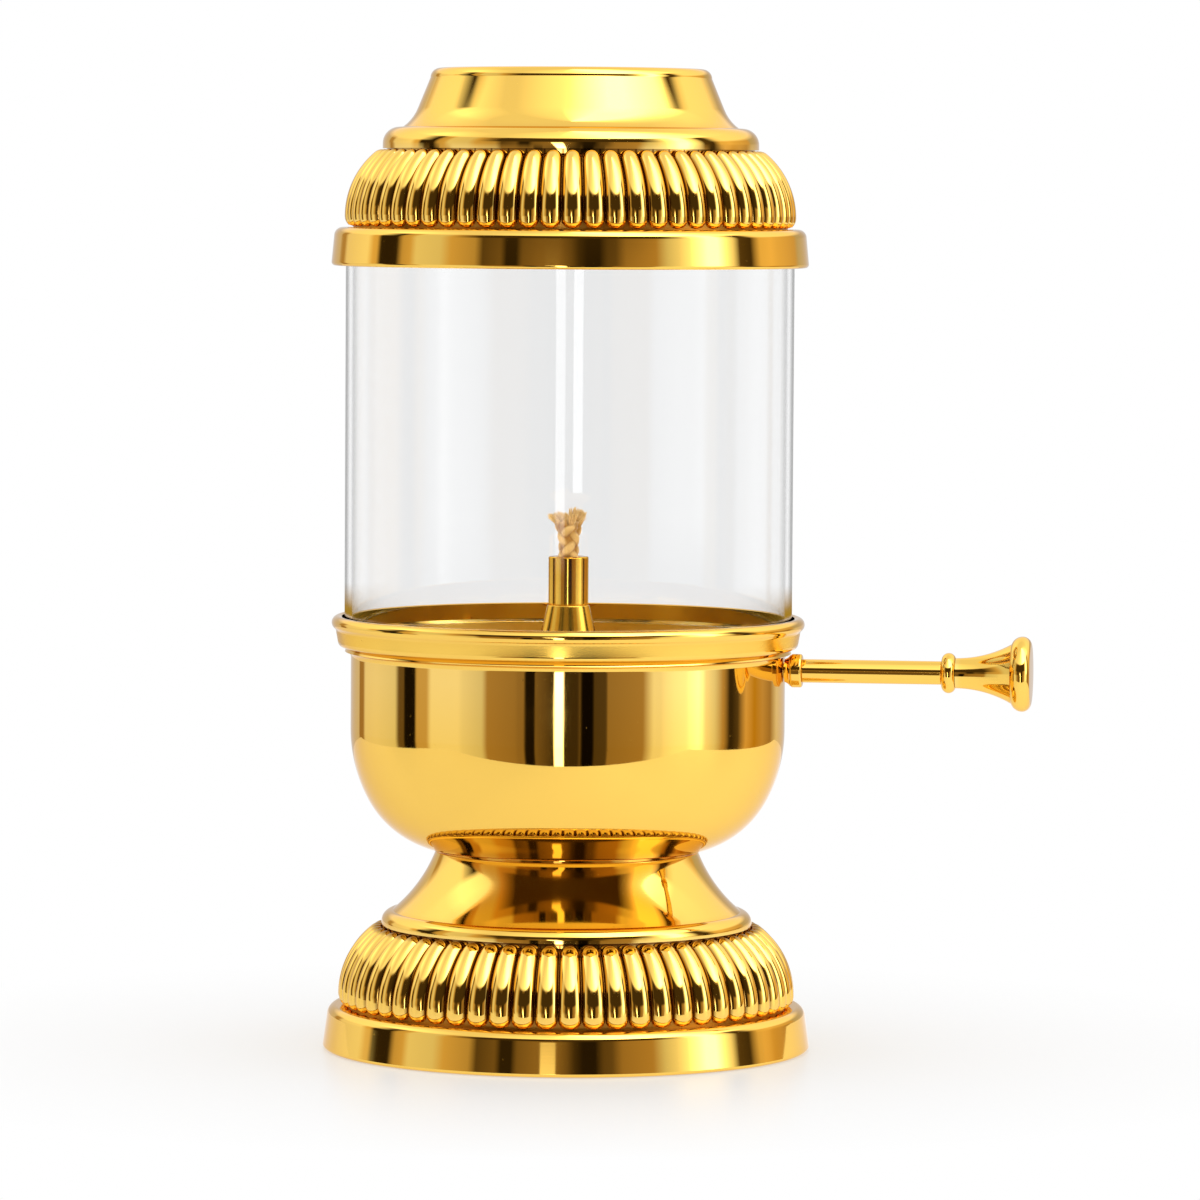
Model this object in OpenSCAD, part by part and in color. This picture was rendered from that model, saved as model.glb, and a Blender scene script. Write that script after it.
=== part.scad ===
// Akhand diya: a brass oil lamp with a glass chimney, a vented cap and a screw-in side handle.
// Millimetres, +Z up. The origin is the middle of the foot, on the table, and the handle points along +X.

/* [Foot] */
// Diameter across the bottom of the foot
foot_d = 136.4; // [124:0.2:160]
// How much the foot's side leans in towards its top
foot_taper = 1.2; // [0:0.1:3]
// Height of the foot
foot_h = 12; // [11:0.5:20]
// Rounding of the foot's top edge
foot_round = 2.6; // [2:0.1:5]
// Rounding of the lowest edges
edge_round = 1; // [0.4:0.1:1.6]
// Bore of the foot's ledge
foot_bore_d = 100; // [80:1:110]

/* [Spun sheet] */
// Wall of the spun brass pieces
sheet_t = 1.8; // [1.2:0.1:1.9]

/* [Gadroon rings] */
// Ribs round the foot's ring
foot_ribs = 60; // [40:1:72]
// Ribs round the cap's ring
cap_ribs = 64; // [40:1:72]
// Length of a rib's rounded end
rib_end = 2.8; // [1:0.1:4]
// How far the ribs stand out of their ring
rib_relief = 2.2; // [1.2:0.1:2.6]
// Radius of the ribs' crown line, seen from the side
crown_r = 23.4; // [22.6:0.1:30]
// Height of that crown line's middle above the ledge
crown_rise = 3; // [2:0.1:5]
// Clear space between the ribs and the lip above them
rib_gap = 0.4; // [0.2:0.1:2]
// Height of the foot's ring
foot_ring_h = 22.6; // [18:0.1:23.6]
// Height of the cap's ring
cap_ring_h = 21.9; // [18:0.1:23.6]
// How far a ring stands in from the edge of its ledge
ring_setback = 0.5; // [0.2:0.1:3]
// Bore of a ring's top flange
ring_bore_d = 80; // [60:1:84]

/* [Pedestal neck] */
// How far a neck's lip stands out over the ring below it
lip_overhang = 3.3; // [1:0.1:4]
// Height of the pedestal neck's lip
lip_h = 3.9; // [3.2:0.1:6]
// Rounding of the pedestal neck's lip
lip_round = 3.1; // [1:0.1:3.2]
// Flat step between a lip and the flare above it
lip_step = 1; // [0.4:0.1:2]
// Height of the pedestal neck
neck_h = 21.5; // [18:0.1:30]
// Diameter at the top of the pedestal neck and at the bottom of the bowl
neck_top_d = 72.4; // [64:0.2:78]
// Straight collar at the top of the neck
neck_collar = 1; // [0.5:0.1:3]
// Radius of the necks' concave flare
flare_r = 36.7; // [28:0.1:60]
// Thickness of the plate that closes the neck's top
neck_plate_t = 3; // [2:0.1:5]

/* [Tie rod] */
// Diameter of the tie rod
tie_d = 6; // [5:0.5:8]
// Diameter of the tie rod's head
tie_head_d = 26; // [16:1:40]
// Thickness of the tie rod's head
tie_head_t = 3; // [2:0.1:5]
// Clear space round the rod and its head
tie_clear = 0.3; // [0.1:0.05:1]
// Length of rod past the nut
tie_end = 1; // [0.4:0.1:1.4]
// Thickness of the bottom plate
plate_t = 2; // [1.5:0.1:2.4]
// Clear space between the bottom plate and the foot's wall
plate_clear = 4; // [1:0.5:8]
// Diameter of the washer
washer_d = 18; // [14:0.5:26]
// Thickness of the washer
washer_t = 1.6; // [1:0.1:2]
// Width of the nut across its flats
nut_af = 10; // [9:0.5:14]
// Height of the nut
nut_h = 4; // [3:0.1:4.4]

/* [Bowl and gallery] */
// Height of the bowl
bowl_h = 53.3; // [46:0.1:70]
// Height of the bowl's curved part
bowl_curve_h = 33; // [28:0.5:38]
// Wall of the bowl
bowl_wall = 1.6; // [1:0.1:2.5]
// How far the bowl's side stands in from the outside of the glass
bowl_setback = 1.8; // [1.6:0.1:1.9]
// Height of the cove under the gallery's band
cove_h = 3; // [2.2:0.1:5]
// Depth of that cove
cove_w = 1.7; // [0.5:0.1:2.4]
// Height of the gallery's band
band_h = 4.8; // [3.4:0.1:8]
// Rounding under the band
band_round = 1.4; // [0.5:0.1:2]
// Wall of the gallery outside the glass
gallery_wall = 1.6; // [1.2:0.1:3]
// How far the rolled lip stands out of the band
roll_proud = 1.2; // [0.6:0.1:1.6]
// Height of the rolled lip
roll_h = 3.8; // [2.6:0.1:5]
// Depth of the groove that the glass stands in
groove_depth = 5.5; // [3:0.1:7]

/* [Glass chimney] */
// Outside diameter of the glass
glass_d = 125; // [116:0.5:140]
// Wall of the glass
glass_wall = 2; // [1.4:0.1:2.4]
// Length of the glass
glass_h = 112; // [90:1:160]
// Clear space between the glass and the gallery
glass_clear = 0.8; // [0.4:0.1:1.5]

/* [Cap] */
// Clear space between the glass and the cap's band
cap_clear = 1.5; // [0.6:0.1:4]
// Height of the cap's band
cap_rim_h = 10.7; // [8:0.1:20]
// How much the cap's band leans in towards its top
cap_taper = 0.7; // [0:0.1:2]
// Rounding of the band's top edge
cap_round = 2.4; // [2:0.1:4]
// Bore of the band's ledge, inside the glass
cap_bore_d = 104; // [90:1:110]
// Height of the cap neck's lip
cap_lip_h = 6; // [5:0.1:9]
// Rounding of the cap neck's lip
cap_lip_round = 4.6; // [2:0.1:5]
// Height of the cap's neck
cap_neck_h = 22.4; // [19:0.1:32]
// Diameter across the top of the cap's neck
cap_top_d = 78.4; // [70:0.2:84]
// Rounding of the mouth at the top
mouth_round = 2.7; // [2:0.1:4]
// Width of the rolled edge round the mouth
mouth_w = 4.6; // [4:0.1:8]

/* [Handle] */
// Height of the handle's middle below the bowl's top
handle_drop = 2.7; // [2.4:0.1:20]
// Length of the saddle between bowl and collar
saddle_l = 2; // [1.8:0.1:5]
// Diameter of the saddle at the collar
saddle_d = 8.6; // [6:0.1:9]
// Diameter of the saddle at the bowl
saddle_foot_d = 5.6; // [5.2:0.1:6]
// Clear space between saddle and bowl
seat_gap = 0.3; // [0.2:0.05:0.5]
// Diameter of the collar
collar_d = 9.3; // [8.8:0.1:11]
// Length of the collar
collar_l = 3.2; // [2:0.1:6]
// Rounding of the collar's edges
collar_round = 0.6; // [0.2:0.1:0.9]
// Diameter of the rod
rod_d = 6.3; // [5.4:0.1:8]
// Length of the rod
rod_l = 38.9; // [25:0.1:80]
// Diameter of the screw at the rod's end
screw_d = 4; // [3:0.1:4.6]
// Length of screw past the nut
screw_end = 0.6; // [0.2:0.1:3]
// Clear space round the screw
screw_clear = 0.05; // [0.02:0.01:0.1]
// Width of the handle's nut across its flats
handle_nut_af = 7; // [6.4:0.1:10]
// Thickness of the handle's nut
handle_nut_t = 4.2; // [3:0.1:8]
// Diameter of the tenon in the bead and the knob
tenon_d = 4.4; // [3:0.1:5]
// Length of the tenon
tenon_l = 10; // [6:0.5:16]
// Clear space round pieces that are pushed on and brazed
braze_gap = 0.02; // [0.01:0.01:0.05]
// Diameter of the bead
bead_d = 11.2; // [9:0.1:16]
// Length of the bead
bead_l = 3.9; // [2.5:0.1:5]
// Diameter of the knob's neck
knob_neck_d = 8.1; // [6.5:0.1:10]
// Diameter of the knob's lip
knob_d = 20.9; // [18:0.1:30]
// Thickness of the knob's lip
knob_lip_t = 5; // [3:0.1:6]
// Length of the knob
knob_l = 21.1; // [18:0.1:36]
// How far the knob's end is hollowed
knob_dish = 0.8; // [0.2:0.1:2]

/* [Burner and wick] */
// Diameter of the disc on the bowl's floor
burner_foot_d = 44; // [30:1:60]
// Thickness of that disc at its edge
burner_foot_t = 3; // [2:0.1:6]
// Height of the hub on the disc
burner_hub_h = 5; // [3:0.1:8]
// Wall of that hub round the stem
burner_hub_wall = 3; // [1.5:0.1:6]
// Outside diameter of the stem
stem_d = 9; // [8.6:0.1:10.4]
// Length of the stem
stem_l = 63.5; // [50:0.1:90]
// Diameter of the oil holes through the stem
oil_hole_d = 3; // [1.5:0.1:4.5]
// Height of the oil holes above the hub
oil_hole_rise = 4; // [3:0.1:12]
// Diameter at the bottom of the burner's cone
cone_d = 15; // [13.4:0.1:24]
// Diameter at the top of the burner's cone
cone_top_d = 11.8; // [11.4:0.1:13]
// Height of the cone
cone_h = 7.8; // [5:0.1:16]
// Rounding of the cone's lower edge
cone_round = 0.7; // [0.3:0.1:1]
// Outside diameter of the wick tube
tube_d = 11.2; // [9:0.1:11.8]
// Length of the wick tube
tube_l = 13.6; // [8:0.1:30]
// Diameter of the wick
wick_d = 5.8; // [4:0.1:6.4]
// Clear space round the wick in its tube
wick_clear = 0.3; // [0.2:0.05:0.5]
// Length of straight wick above the tube
wick_proud = 5.6; // [5.2:0.1:15]
// Length of the frayed top
fray_h = 7.2; // [6:0.1:15]
// Diameter of the frayed top
fray_d = 9.4; // [7:0.1:14]
// Length over which the strands of the frayed top spread
fray_spread = 4.8; // [2:0.1:6]
// Height of the frayed top's crown
fray_crown = 0.8; // [0.3:0.1:1.5]
// Height of the wick's lower end above the stem's seat
wick_tail = 7.4; // [5.5:0.1:30]

/* [Hidden] */
brass = "#d8a32c";
cotton = "#e6d3ad";
clear_glass = [0.88, 0.93, 0.95, 0.35];
$fn = 96;
arc_steps = 10;
past = 1;

// Gadroon rings: places across one rib, spans up its middle, and the shoulder of its rounded end
rib_across = [0, 0.2, 0.5, 0.8];
rib_spans = 3;
rib_shoulder = 0.3;
rib_shoulder_relief = 0.7;
ring_body_r = crown_r - rib_relief;

// Foot and its ring
foot_r = foot_d / 2;
foot_top_r = foot_r - foot_taper;
foot_ring_r = foot_top_r - foot_round - ring_setback;
foot_ring_z = foot_h;

// Pedestal neck, bowl and gallery, one on top of the other
neck_z = foot_ring_z + foot_ring_h;
neck_top_r = neck_top_d / 2;
bowl_z = neck_z + neck_h;
bowl_floor_z = bowl_z + bowl_wall;
bowl_top_z = bowl_z + bowl_h;
glass_r = glass_d / 2;
bowl_r = glass_r - bowl_setback;
bowl_in_r = bowl_r - bowl_wall;
bowl_spread = bowl_r - neck_top_r;
bowl_curve_r = (bowl_spread * bowl_spread + bowl_curve_h * bowl_curve_h) / (2 * bowl_spread);
bowl_centre = [bowl_r - bowl_curve_r, bowl_z + bowl_curve_h];
groove_r = glass_r + glass_clear;
band_r = groove_r + gallery_wall;
band_z = bowl_top_z + cove_h;
roll_z = band_z + band_h;
gallery_top_z = roll_z + roll_h;
glass_z = gallery_top_z - groove_depth;
glass_top_z = glass_z + glass_h;

// Cap
cap_z = glass_top_z + sheet_t - cap_rim_h;
cap_r = glass_r + cap_clear + sheet_t + cap_taper;
cap_ring_z = cap_z + cap_rim_h;
cap_ring_r = cap_r - cap_taper - cap_round - ring_setback;
cap_neck_z = cap_ring_z + cap_ring_h;
cap_top_z = cap_neck_z + cap_neck_h;

// Tie rod and what it clamps
plate_z = foot_h - sheet_t - plate_t;
plate_r = foot_top_r - foot_round - plate_clear;
washer_z = plate_z - washer_t;
nut_z = washer_z - nut_h;
tie_bore_r = tie_d / 2 + tie_clear;

// Handle, measured from the lamp's middle along +X
handle_z = bowl_top_z - handle_drop;
collar_x = bowl_r + saddle_l;
rod_x = collar_x + collar_l;
bead_x = rod_x + rod_l;
knob_x = bead_x + bead_l;
screw_bore_r = screw_d / 2 + screw_clear;
handle_nut_x = bowl_in_r - handle_nut_t;

// Burner and wick
stem_z = bowl_floor_z + burner_foot_t;
stem_r = stem_d / 2;
wick_r = wick_d / 2;
wick_bore_r = wick_r + wick_clear;
stem_top_z = stem_z + stem_l;
tube_top_z = stem_top_z + tube_l;
wick_z = stem_z + wick_tail;
fray_z = tube_top_z + wick_proud;

// Point at angle a on a circle
function polar(c, r, a) = [c[0] + r * cos(a), c[1] + r * sin(a)];

// Points along an arc from angle a to angle b
function arc(c, r, a, b) = [for (i = [0:arc_steps]) polar(c, r, a + (b - a) * i / arc_steps)];

// Middle of the arc of radius r from p to q that lies to the right of the way from p to q
function right_centre(p, q, r) =
    let (d = q - p, half = norm(d) / 2)
    (p + q) / 2 + [d[1], -d[0]] / norm(d) * sqrt(r * r - half * half);

// Angle of point p seen from c, between 0 and 360 degrees
function angle_from(c, p) = let (a = atan2(p[1] - c[1], p[0] - c[0])) a < 0 ? a + 360 : a;

// Outline of a band with a rounded top edge and a ledge inside its top
function band_outline(r, top_r, h, round, bore_r) = concat(
    [[r - sheet_t, 0]],
    arc([r - edge_round, edge_round], edge_round, -90, 0),
    arc([top_r - round, h - round], round, 0, 90),
    [[bore_r, h], [bore_r, h - sheet_t]],
    arc([top_r - round, h - round], round - sheet_t, 90, 0)
);

// Middle of a ring's crown line, for a ring whose ribs reach out to r
function crown_centre(r) = [r - crown_r, crown_rise];

// Radius of a ring's plain body where its top flange starts
function ring_top_r(r, h) = r - crown_r + sqrt(pow(ring_body_r, 2) - pow(h - crown_rise, 2));

// Rows up a ring's outside: the angle on the crown line and the share of the ribs' full relief
function rib_rows(h) =
    let (
        low_a = -asin(crown_rise / ring_body_r),
        high_a = asin((h - crown_rise - rib_gap) / crown_r),
        end_a = rib_end / crown_r * 180 / PI,
        span_a = high_a - low_a - 2 * end_a
    )
    concat(
        [[low_a, 0], [low_a + rib_shoulder * end_a, rib_shoulder_relief]],
        [for (i = [0:rib_spans]) [low_a + end_a + span_a * i / rib_spans, 1]],
        [[high_a - rib_shoulder * end_a, rib_shoulder_relief], [high_a, 0]],
        [[asin((h - crown_rise) / ring_body_r), 0]]
    );

// Section of a ring at one step round it, where lift is the rib's height there, from 0 to 1
function ring_section(r, h, lift) =
    let (
        c = crown_centre(r),
        bore_r = ring_bore_d / 2,
        in_r = ring_body_r - sheet_t,
        top_a = asin((h - sheet_t - crown_rise) / in_r),
        foot_a = -asin(crown_rise / in_r)
    )
    concat(
        [for (row = rib_rows(h)) polar(c, ring_body_r + rib_relief * row[1] * lift, row[0])],
        [[bore_r, h], [bore_r, h - sheet_t]],
        [for (a = [top_a, (top_a + foot_a) / 2, foot_a]) polar(c, in_r, a)]
    );

// Lip and concave flare of a neck, from the lip's lower edge up to the point q
function flare_start(lip_r, h, round) = [lip_r - round - lip_step, h];
function flare_out(lip_r, h, round, q) =
    let (p = flare_start(lip_r, h, round), c = right_centre(p, q, flare_r))
    concat(
        [[lip_r, 0]],
        arc([lip_r - round, h - round], round, 0, 90),
        arc(c, flare_r, angle_from(c, p), angle_from(c, q))
    );

// Inside of that flare, from height top down to the lip's underside
function flare_in(lip_r, h, round, q, top) =
    let (
        p = flare_start(lip_r, h, round),
        c = right_centre(p, q, flare_r),
        r = flare_r + sheet_t,
        low = arc(c, r, 180 + asin((c[1] - top) / r), angle_from(c, p))
    )
    concat(low, [[low[arc_steps][0], 0]]);

// Revolved outline standing at height z
module turned(z, outline) {
    translate([0, 0, z])
        rotate_extrude()
            polygon(outline);
}

// Revolved outline lying along the handle, from x outwards
module turned_handle(x, outline) {
    translate([x, 0, handle_z])
        rotate([0, 90, 0])
            rotate_extrude()
                polygon(outline);
}

// Round bar along the handle
module handle_bar(x, l, r) {
    translate([x, 0, handle_z])
        rotate([0, 90, 0])
            cylinder(h = l, r = r);
}

// Ribbed ring whose ribs reach out to r
module gadroon_ring(z, r, h, count) {
    rows = len(ring_section(r, h, 0));
    steps = count * len(rib_across);
    points = [
        for (i = [0:count - 1])
            for (t = rib_across)
                let (a = (i + t) * 360 / count, lift = sqrt(1 - pow(2 * t - 1, 2)))
                for (p = ring_section(r, h, lift))
                    [p[0] * cos(a), p[0] * sin(a), p[1]]
    ];
    faces = [
        for (i = [0:steps - 1])
            for (j = [0:rows - 1])
                let (
                    i2 = (i + 1) % steps * rows,
                    j2 = (j + 1) % rows,
                    corners = [i * rows + j, i * rows + j2, i2 + j2, i2 + j]
                )
                for (k = [1, 2])
                    [corners[0], corners[k], corners[k + 1]]
    ];
    translate([0, 0, z])
        polyhedron(points, faces);
}

module foot_rim() {
    color(brass)
        turned(0, band_outline(foot_r, foot_top_r, foot_h, foot_round, foot_bore_d / 2));
}

module foot_gadroon_ring() {
    color(brass)
        gadroon_ring(foot_ring_z, foot_ring_r, foot_ring_h, foot_ribs);
}

module pedestal_neck() {
    lip_r = ring_top_r(foot_ring_r, foot_ring_h) + lip_overhang;
    q = [neck_top_r, neck_h - neck_collar];
    under = neck_h - neck_plate_t;
    bore_r = tie_head_d / 2 + tie_clear;
    color(brass)
        turned(neck_z, concat(
            flare_out(lip_r, lip_h, lip_round, q),
            [[neck_top_r, neck_h], [bore_r, neck_h], [bore_r, under]],
            flare_in(lip_r, lip_h, lip_round, q, under)
        ));
}

module bottom_plate() {
    color(brass)
        translate([0, 0, plate_z])
            difference() {
                cylinder(h = plate_t, r = plate_r);
                translate([0, 0, -past])
                    cylinder(h = plate_t + 2 * past, r = tie_bore_r);
            }
}

module tie_rod() {
    rod_z = nut_z - tie_end;
    head_z = bowl_z - tie_head_t;
    color("silver") {
        translate([0, 0, rod_z])
            cylinder(h = bowl_z - rod_z, r = tie_d / 2);
        translate([0, 0, head_z])
            cylinder(h = tie_head_t, r = tie_head_d / 2);
    }
}

module tie_washer() {
    color("silver")
        translate([0, 0, washer_z])
            difference() {
                cylinder(h = washer_t, r = washer_d / 2);
                translate([0, 0, -past])
                    cylinder(h = washer_t + 2 * past, r = tie_bore_r);
            }
}

module tie_nut() {
    color("silver")
        translate([0, 0, nut_z])
            difference() {
                cylinder(h = nut_h, d = nut_af / cos(30), $fn = 6);
                translate([0, 0, -past])
                    cylinder(h = nut_h + 2 * past, r = tie_d / 2 + braze_gap);
            }
}

module oil_bowl() {
    in_r = bowl_curve_r - bowl_wall;
    c = bowl_centre;
    low_a = angle_from(c, [neck_top_r, bowl_z]) - 360;
    floor_a = -asin((c[1] - bowl_floor_z) / in_r);
    color(brass)
        difference() {
            turned(0, concat(
                [[0, bowl_floor_z], [0, bowl_z]],
                arc(c, bowl_curve_r, low_a, 0),
                [[bowl_r, bowl_top_z], [bowl_in_r, bowl_top_z]],
                arc(c, in_r, 0, floor_a)
            ));
            handle_bar(handle_nut_x, bowl_r, screw_bore_r);
        }
}

module gallery_ring() {
    roll_mid = roll_z + roll_h / 2;
    roll_r = band_r + roll_proud - roll_h / 2;
    cove_r = bowl_r + cove_w;
    color(brass)
        turned(0, concat(
            [[bowl_in_r, bowl_top_z]],
            arc([bowl_r + cove_w, bowl_top_z], cove_w, 180, 90),
            [[cove_r, band_z]],
            arc([band_r - band_round, band_z + band_round], band_round, -90, 0),
            [[band_r, roll_z]],
            arc([roll_r, roll_mid], roll_h / 2, -60, 90),
            [[groove_r, gallery_top_z - edge_round], [groove_r, glass_z], [bowl_in_r, glass_z]]
        ));
}

module handle_nut() {
    color(brass)
        difference() {
            intersection() {
                translate([handle_nut_x, 0, handle_z])
                    rotate([0, 90, 0])
                        cylinder(h = handle_nut_t + past, d = handle_nut_af / cos(30), $fn = 6);
                cylinder(h = cap_top_z, r = bowl_in_r - braze_gap);
            }
            handle_bar(handle_nut_x - past, bowl_r, screw_bore_r);
        }
}

module handle_saddle() {
    seat_r = bowl_r + seat_gap;
    color(brass)
        difference() {
            translate([bowl_r - past, 0, handle_z])
                rotate([0, 90, 0]) {
                    cylinder(h = past, d = saddle_foot_d);
                    translate([0, 0, past])
                        cylinder(h = saddle_l, d1 = saddle_foot_d, d2 = saddle_d);
                }
            cylinder(h = cap_top_z, r = seat_r);
            handle_bar(handle_nut_x, bowl_r, screw_bore_r);
        }
}

module handle_collar() {
    r = collar_d / 2;
    bore_r = screw_d / 2 + braze_gap;
    color(brass)
        turned_handle(collar_x, concat(
            [[bore_r, 0]],
            arc([r - collar_round, collar_round], collar_round, -90, 0),
            arc([r - collar_round, collar_l - collar_round], collar_round, 0, 90),
            [[bore_r, collar_l]]
        ));
}

module handle_rod() {
    screw_x = handle_nut_x - screw_end;
    color(brass) {
        handle_bar(screw_x, rod_x - screw_x, screw_d / 2);
        handle_bar(rod_x, rod_l, rod_d / 2);
        handle_bar(bead_x, tenon_l, tenon_d / 2);
    }
}

module handle_bead() {
    bore_r = tenon_d / 2 + braze_gap;
    half = bead_l / 2;
    color(brass)
        turned_handle(bead_x, concat(
            [[bore_r, 0]],
            arc([bead_d / 2 - half, half], half, -90, 90),
            [[bore_r, bead_l]]
        ));
}

module handle_knob() {
    neck_r = knob_neck_d / 2;
    half = knob_lip_t / 2;
    flare_l = knob_l - knob_lip_t;
    rise = knob_d / 2 - half - neck_r;
    curve_r = (flare_l * flare_l + rise * rise) / (2 * rise);
    flare_a = asin(flare_l / curve_r);
    bore_l = tenon_l - bead_l + braze_gap;
    color(brass)
        difference() {
            turned_handle(knob_x, concat(
                [[0, 0]],
                arc([neck_r + curve_r, 0], curve_r, 180, 180 - flare_a),
                arc([knob_d / 2 - half, knob_l - half], half, -80, 90),
                [[0, knob_l - knob_dish]]
            ));
            handle_bar(knob_x - past, bore_l + past, tenon_d / 2 + braze_gap);
        }
}

module burner_foot() {
    hub_r = stem_r + burner_hub_wall;
    bore_r = stem_r + braze_gap;
    color(brass)
        turned(bowl_floor_z, [
            [0, 0],
            [burner_foot_d / 2, 0],
            [burner_foot_d / 2, burner_foot_t],
            [hub_r, burner_foot_t],
            [hub_r, burner_hub_h + burner_foot_t],
            [bore_r, burner_hub_h + burner_foot_t],
            [bore_r, burner_foot_t],
            [0, burner_foot_t]
        ]);
}

module burner_stem() {
    hole_z = stem_z + burner_hub_h + oil_hole_rise;
    color(brass)
        difference() {
            translate([0, 0, stem_z])
                cylinder(h = stem_l, r = stem_r);
            translate([0, 0, stem_z - past])
                cylinder(h = stem_l + 2 * past, r = wick_bore_r);
            for (a = [0, 90])
                translate([0, 0, hole_z])
                    rotate([90, 0, a])
                        cylinder(h = stem_d + 2 * past, d = oil_hole_d, center = true);
        }
}

module burner_cone() {
    bore_r = stem_r + braze_gap;
    color(brass)
        turned(stem_top_z - cone_h, concat(
            [[bore_r, 0]],
            arc([cone_d / 2 - cone_round, cone_round], cone_round, -90, 0),
            [[cone_top_d / 2, cone_h], [bore_r, cone_h]]
        ));
}

module wick_tube() {
    color(brass)
        translate([0, 0, stem_top_z])
            difference() {
                cylinder(h = tube_l, r = tube_d / 2);
                translate([0, 0, -past])
                    cylinder(h = tube_l + 2 * past, r = wick_bore_r);
            }
}

module wick() {
    color(cotton)
        turned(0, [
            [0, wick_z],
            [wick_r, wick_z],
            [wick_r, fray_z],
            [fray_d / 2, fray_z + fray_spread],
            [fray_d / 2, fray_z + fray_h - fray_crown],
            [0, fray_z + fray_h]
        ]);
}

module glass_chimney() {
    color(clear_glass)
        translate([0, 0, glass_z])
            difference() {
                cylinder(h = glass_h, r = glass_r);
                translate([0, 0, -past])
                    cylinder(h = glass_h + 2 * past, r = glass_r - glass_wall);
            }
}

module cap_rim() {
    color(brass)
        turned(cap_z, band_outline(cap_r, cap_r - cap_taper, cap_rim_h, cap_round, cap_bore_d / 2));
}

module cap_gadroon_ring() {
    color(brass)
        gadroon_ring(cap_ring_z, cap_ring_r, cap_ring_h, cap_ribs);
}

module cap_neck() {
    lip_r = ring_top_r(cap_ring_r, cap_ring_h) + lip_overhang;
    top_r = cap_top_d / 2;
    q = [top_r, cap_neck_h - mouth_round];
    under = cap_neck_h - mouth_round - mouth_w;
    color(brass)
        turned(cap_neck_z, concat(
            flare_out(lip_r, cap_lip_h, cap_lip_round, q),
            arc([top_r - mouth_round, cap_neck_h - mouth_round], mouth_round, 0, 90),
            [[top_r - mouth_w, cap_neck_h], [top_r - mouth_w, cap_neck_h - mouth_round]],
            flare_in(lip_r, cap_lip_h, cap_lip_round, q, under)
        ));
}

foot_rim();
foot_gadroon_ring();
pedestal_neck();
bottom_plate();
tie_rod();
tie_washer();
tie_nut();
oil_bowl();
gallery_ring();
handle_nut();
handle_saddle();
handle_collar();
handle_rod();
handle_bead();
handle_knob();
burner_foot();
burner_stem();
burner_cone();
wick_tube();
wick();
glass_chimney();
cap_rim();
cap_gadroon_ring();
cap_neck();
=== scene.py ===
# %% [markdown]
# # A brass oil lamp, dressed in Blender
# The lamp is an akhand diya: a spun brass foot and bowl, a glass chimney, a vented cap, a cotton wick
# and a screw-in side handle. The CAD model gives every place and size. This lesson models the pieces
# that show again, smooth enough for a mirror polish, and gives each one its finish and its light.

# %% The frame
import math
import random

import bmesh
import bpy
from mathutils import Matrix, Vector


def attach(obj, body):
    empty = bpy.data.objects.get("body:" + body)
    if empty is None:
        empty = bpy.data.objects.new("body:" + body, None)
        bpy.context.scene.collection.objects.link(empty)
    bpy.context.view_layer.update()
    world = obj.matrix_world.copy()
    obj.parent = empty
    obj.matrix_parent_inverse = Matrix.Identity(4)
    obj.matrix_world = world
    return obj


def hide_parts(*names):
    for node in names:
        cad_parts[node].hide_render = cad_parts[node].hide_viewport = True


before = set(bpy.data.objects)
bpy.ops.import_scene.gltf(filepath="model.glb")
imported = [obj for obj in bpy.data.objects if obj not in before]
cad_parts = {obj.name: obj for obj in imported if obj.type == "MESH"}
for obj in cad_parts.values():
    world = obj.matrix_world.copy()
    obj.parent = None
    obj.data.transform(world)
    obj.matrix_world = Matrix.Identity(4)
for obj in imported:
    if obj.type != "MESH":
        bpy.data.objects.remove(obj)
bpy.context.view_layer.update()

# %% [markdown]
# ## Drawing an outline and turning it
# Nearly every piece of this lamp was spun or turned on a lathe, so one way of working makes them all.
# A plane is merged to a single vertex, the vertex is extruded along straight lines and spun round
# centres to draw half of a section, and the section is then spun a whole turn. A stack of cylinders
# could be bevelled instead, but the outline keeps each radius just as the maker would write it.

# %% Pen moves for an outline
MM = 0.001
HANDLE_Z = 106.7
ARC_DEGREES, ARC_LENGTH = 9, 1.4


def place(r, s, lying=False):
    """A point of an outline in metres: r from the axis and s along it, upright or along the handle."""
    return Vector((s, 0, HANDLE_Z + r)) * MM if lying else Vector((r, 0, s)) * MM


def primitive(name, add_it, **sizes):
    """A primitive at the origin as a new piece, in edit mode with all of it selected."""
    bpy.ops.object.select_all(action="DESELECT")
    add_it(location=(0, 0, 0), **sizes)
    piece = bpy.context.object
    piece.name = piece.data.name = name
    bpy.ops.object.mode_set(mode="EDIT")
    bpy.ops.mesh.select_mode(type="VERT")
    bpy.ops.mesh.select_all(action="SELECT")
    return piece


def start_piece(name):
    """A new piece, as one vertex at the origin, in edit mode."""
    piece = primitive(name, bpy.ops.mesh.primitive_plane_add, size=MM)
    bpy.ops.mesh.merge(type="CENTER")
    return piece


def swung(at, middle, degrees):
    """Where a point lands when it is swung round a middle."""
    arm, turn = Vector(at) - Vector(middle), math.radians(degrees)
    c, s = math.cos(turn), math.sin(turn)
    return Vector(middle) + Vector((arm.x * c - arm.y * s, arm.x * s + arm.y * c))


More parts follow.
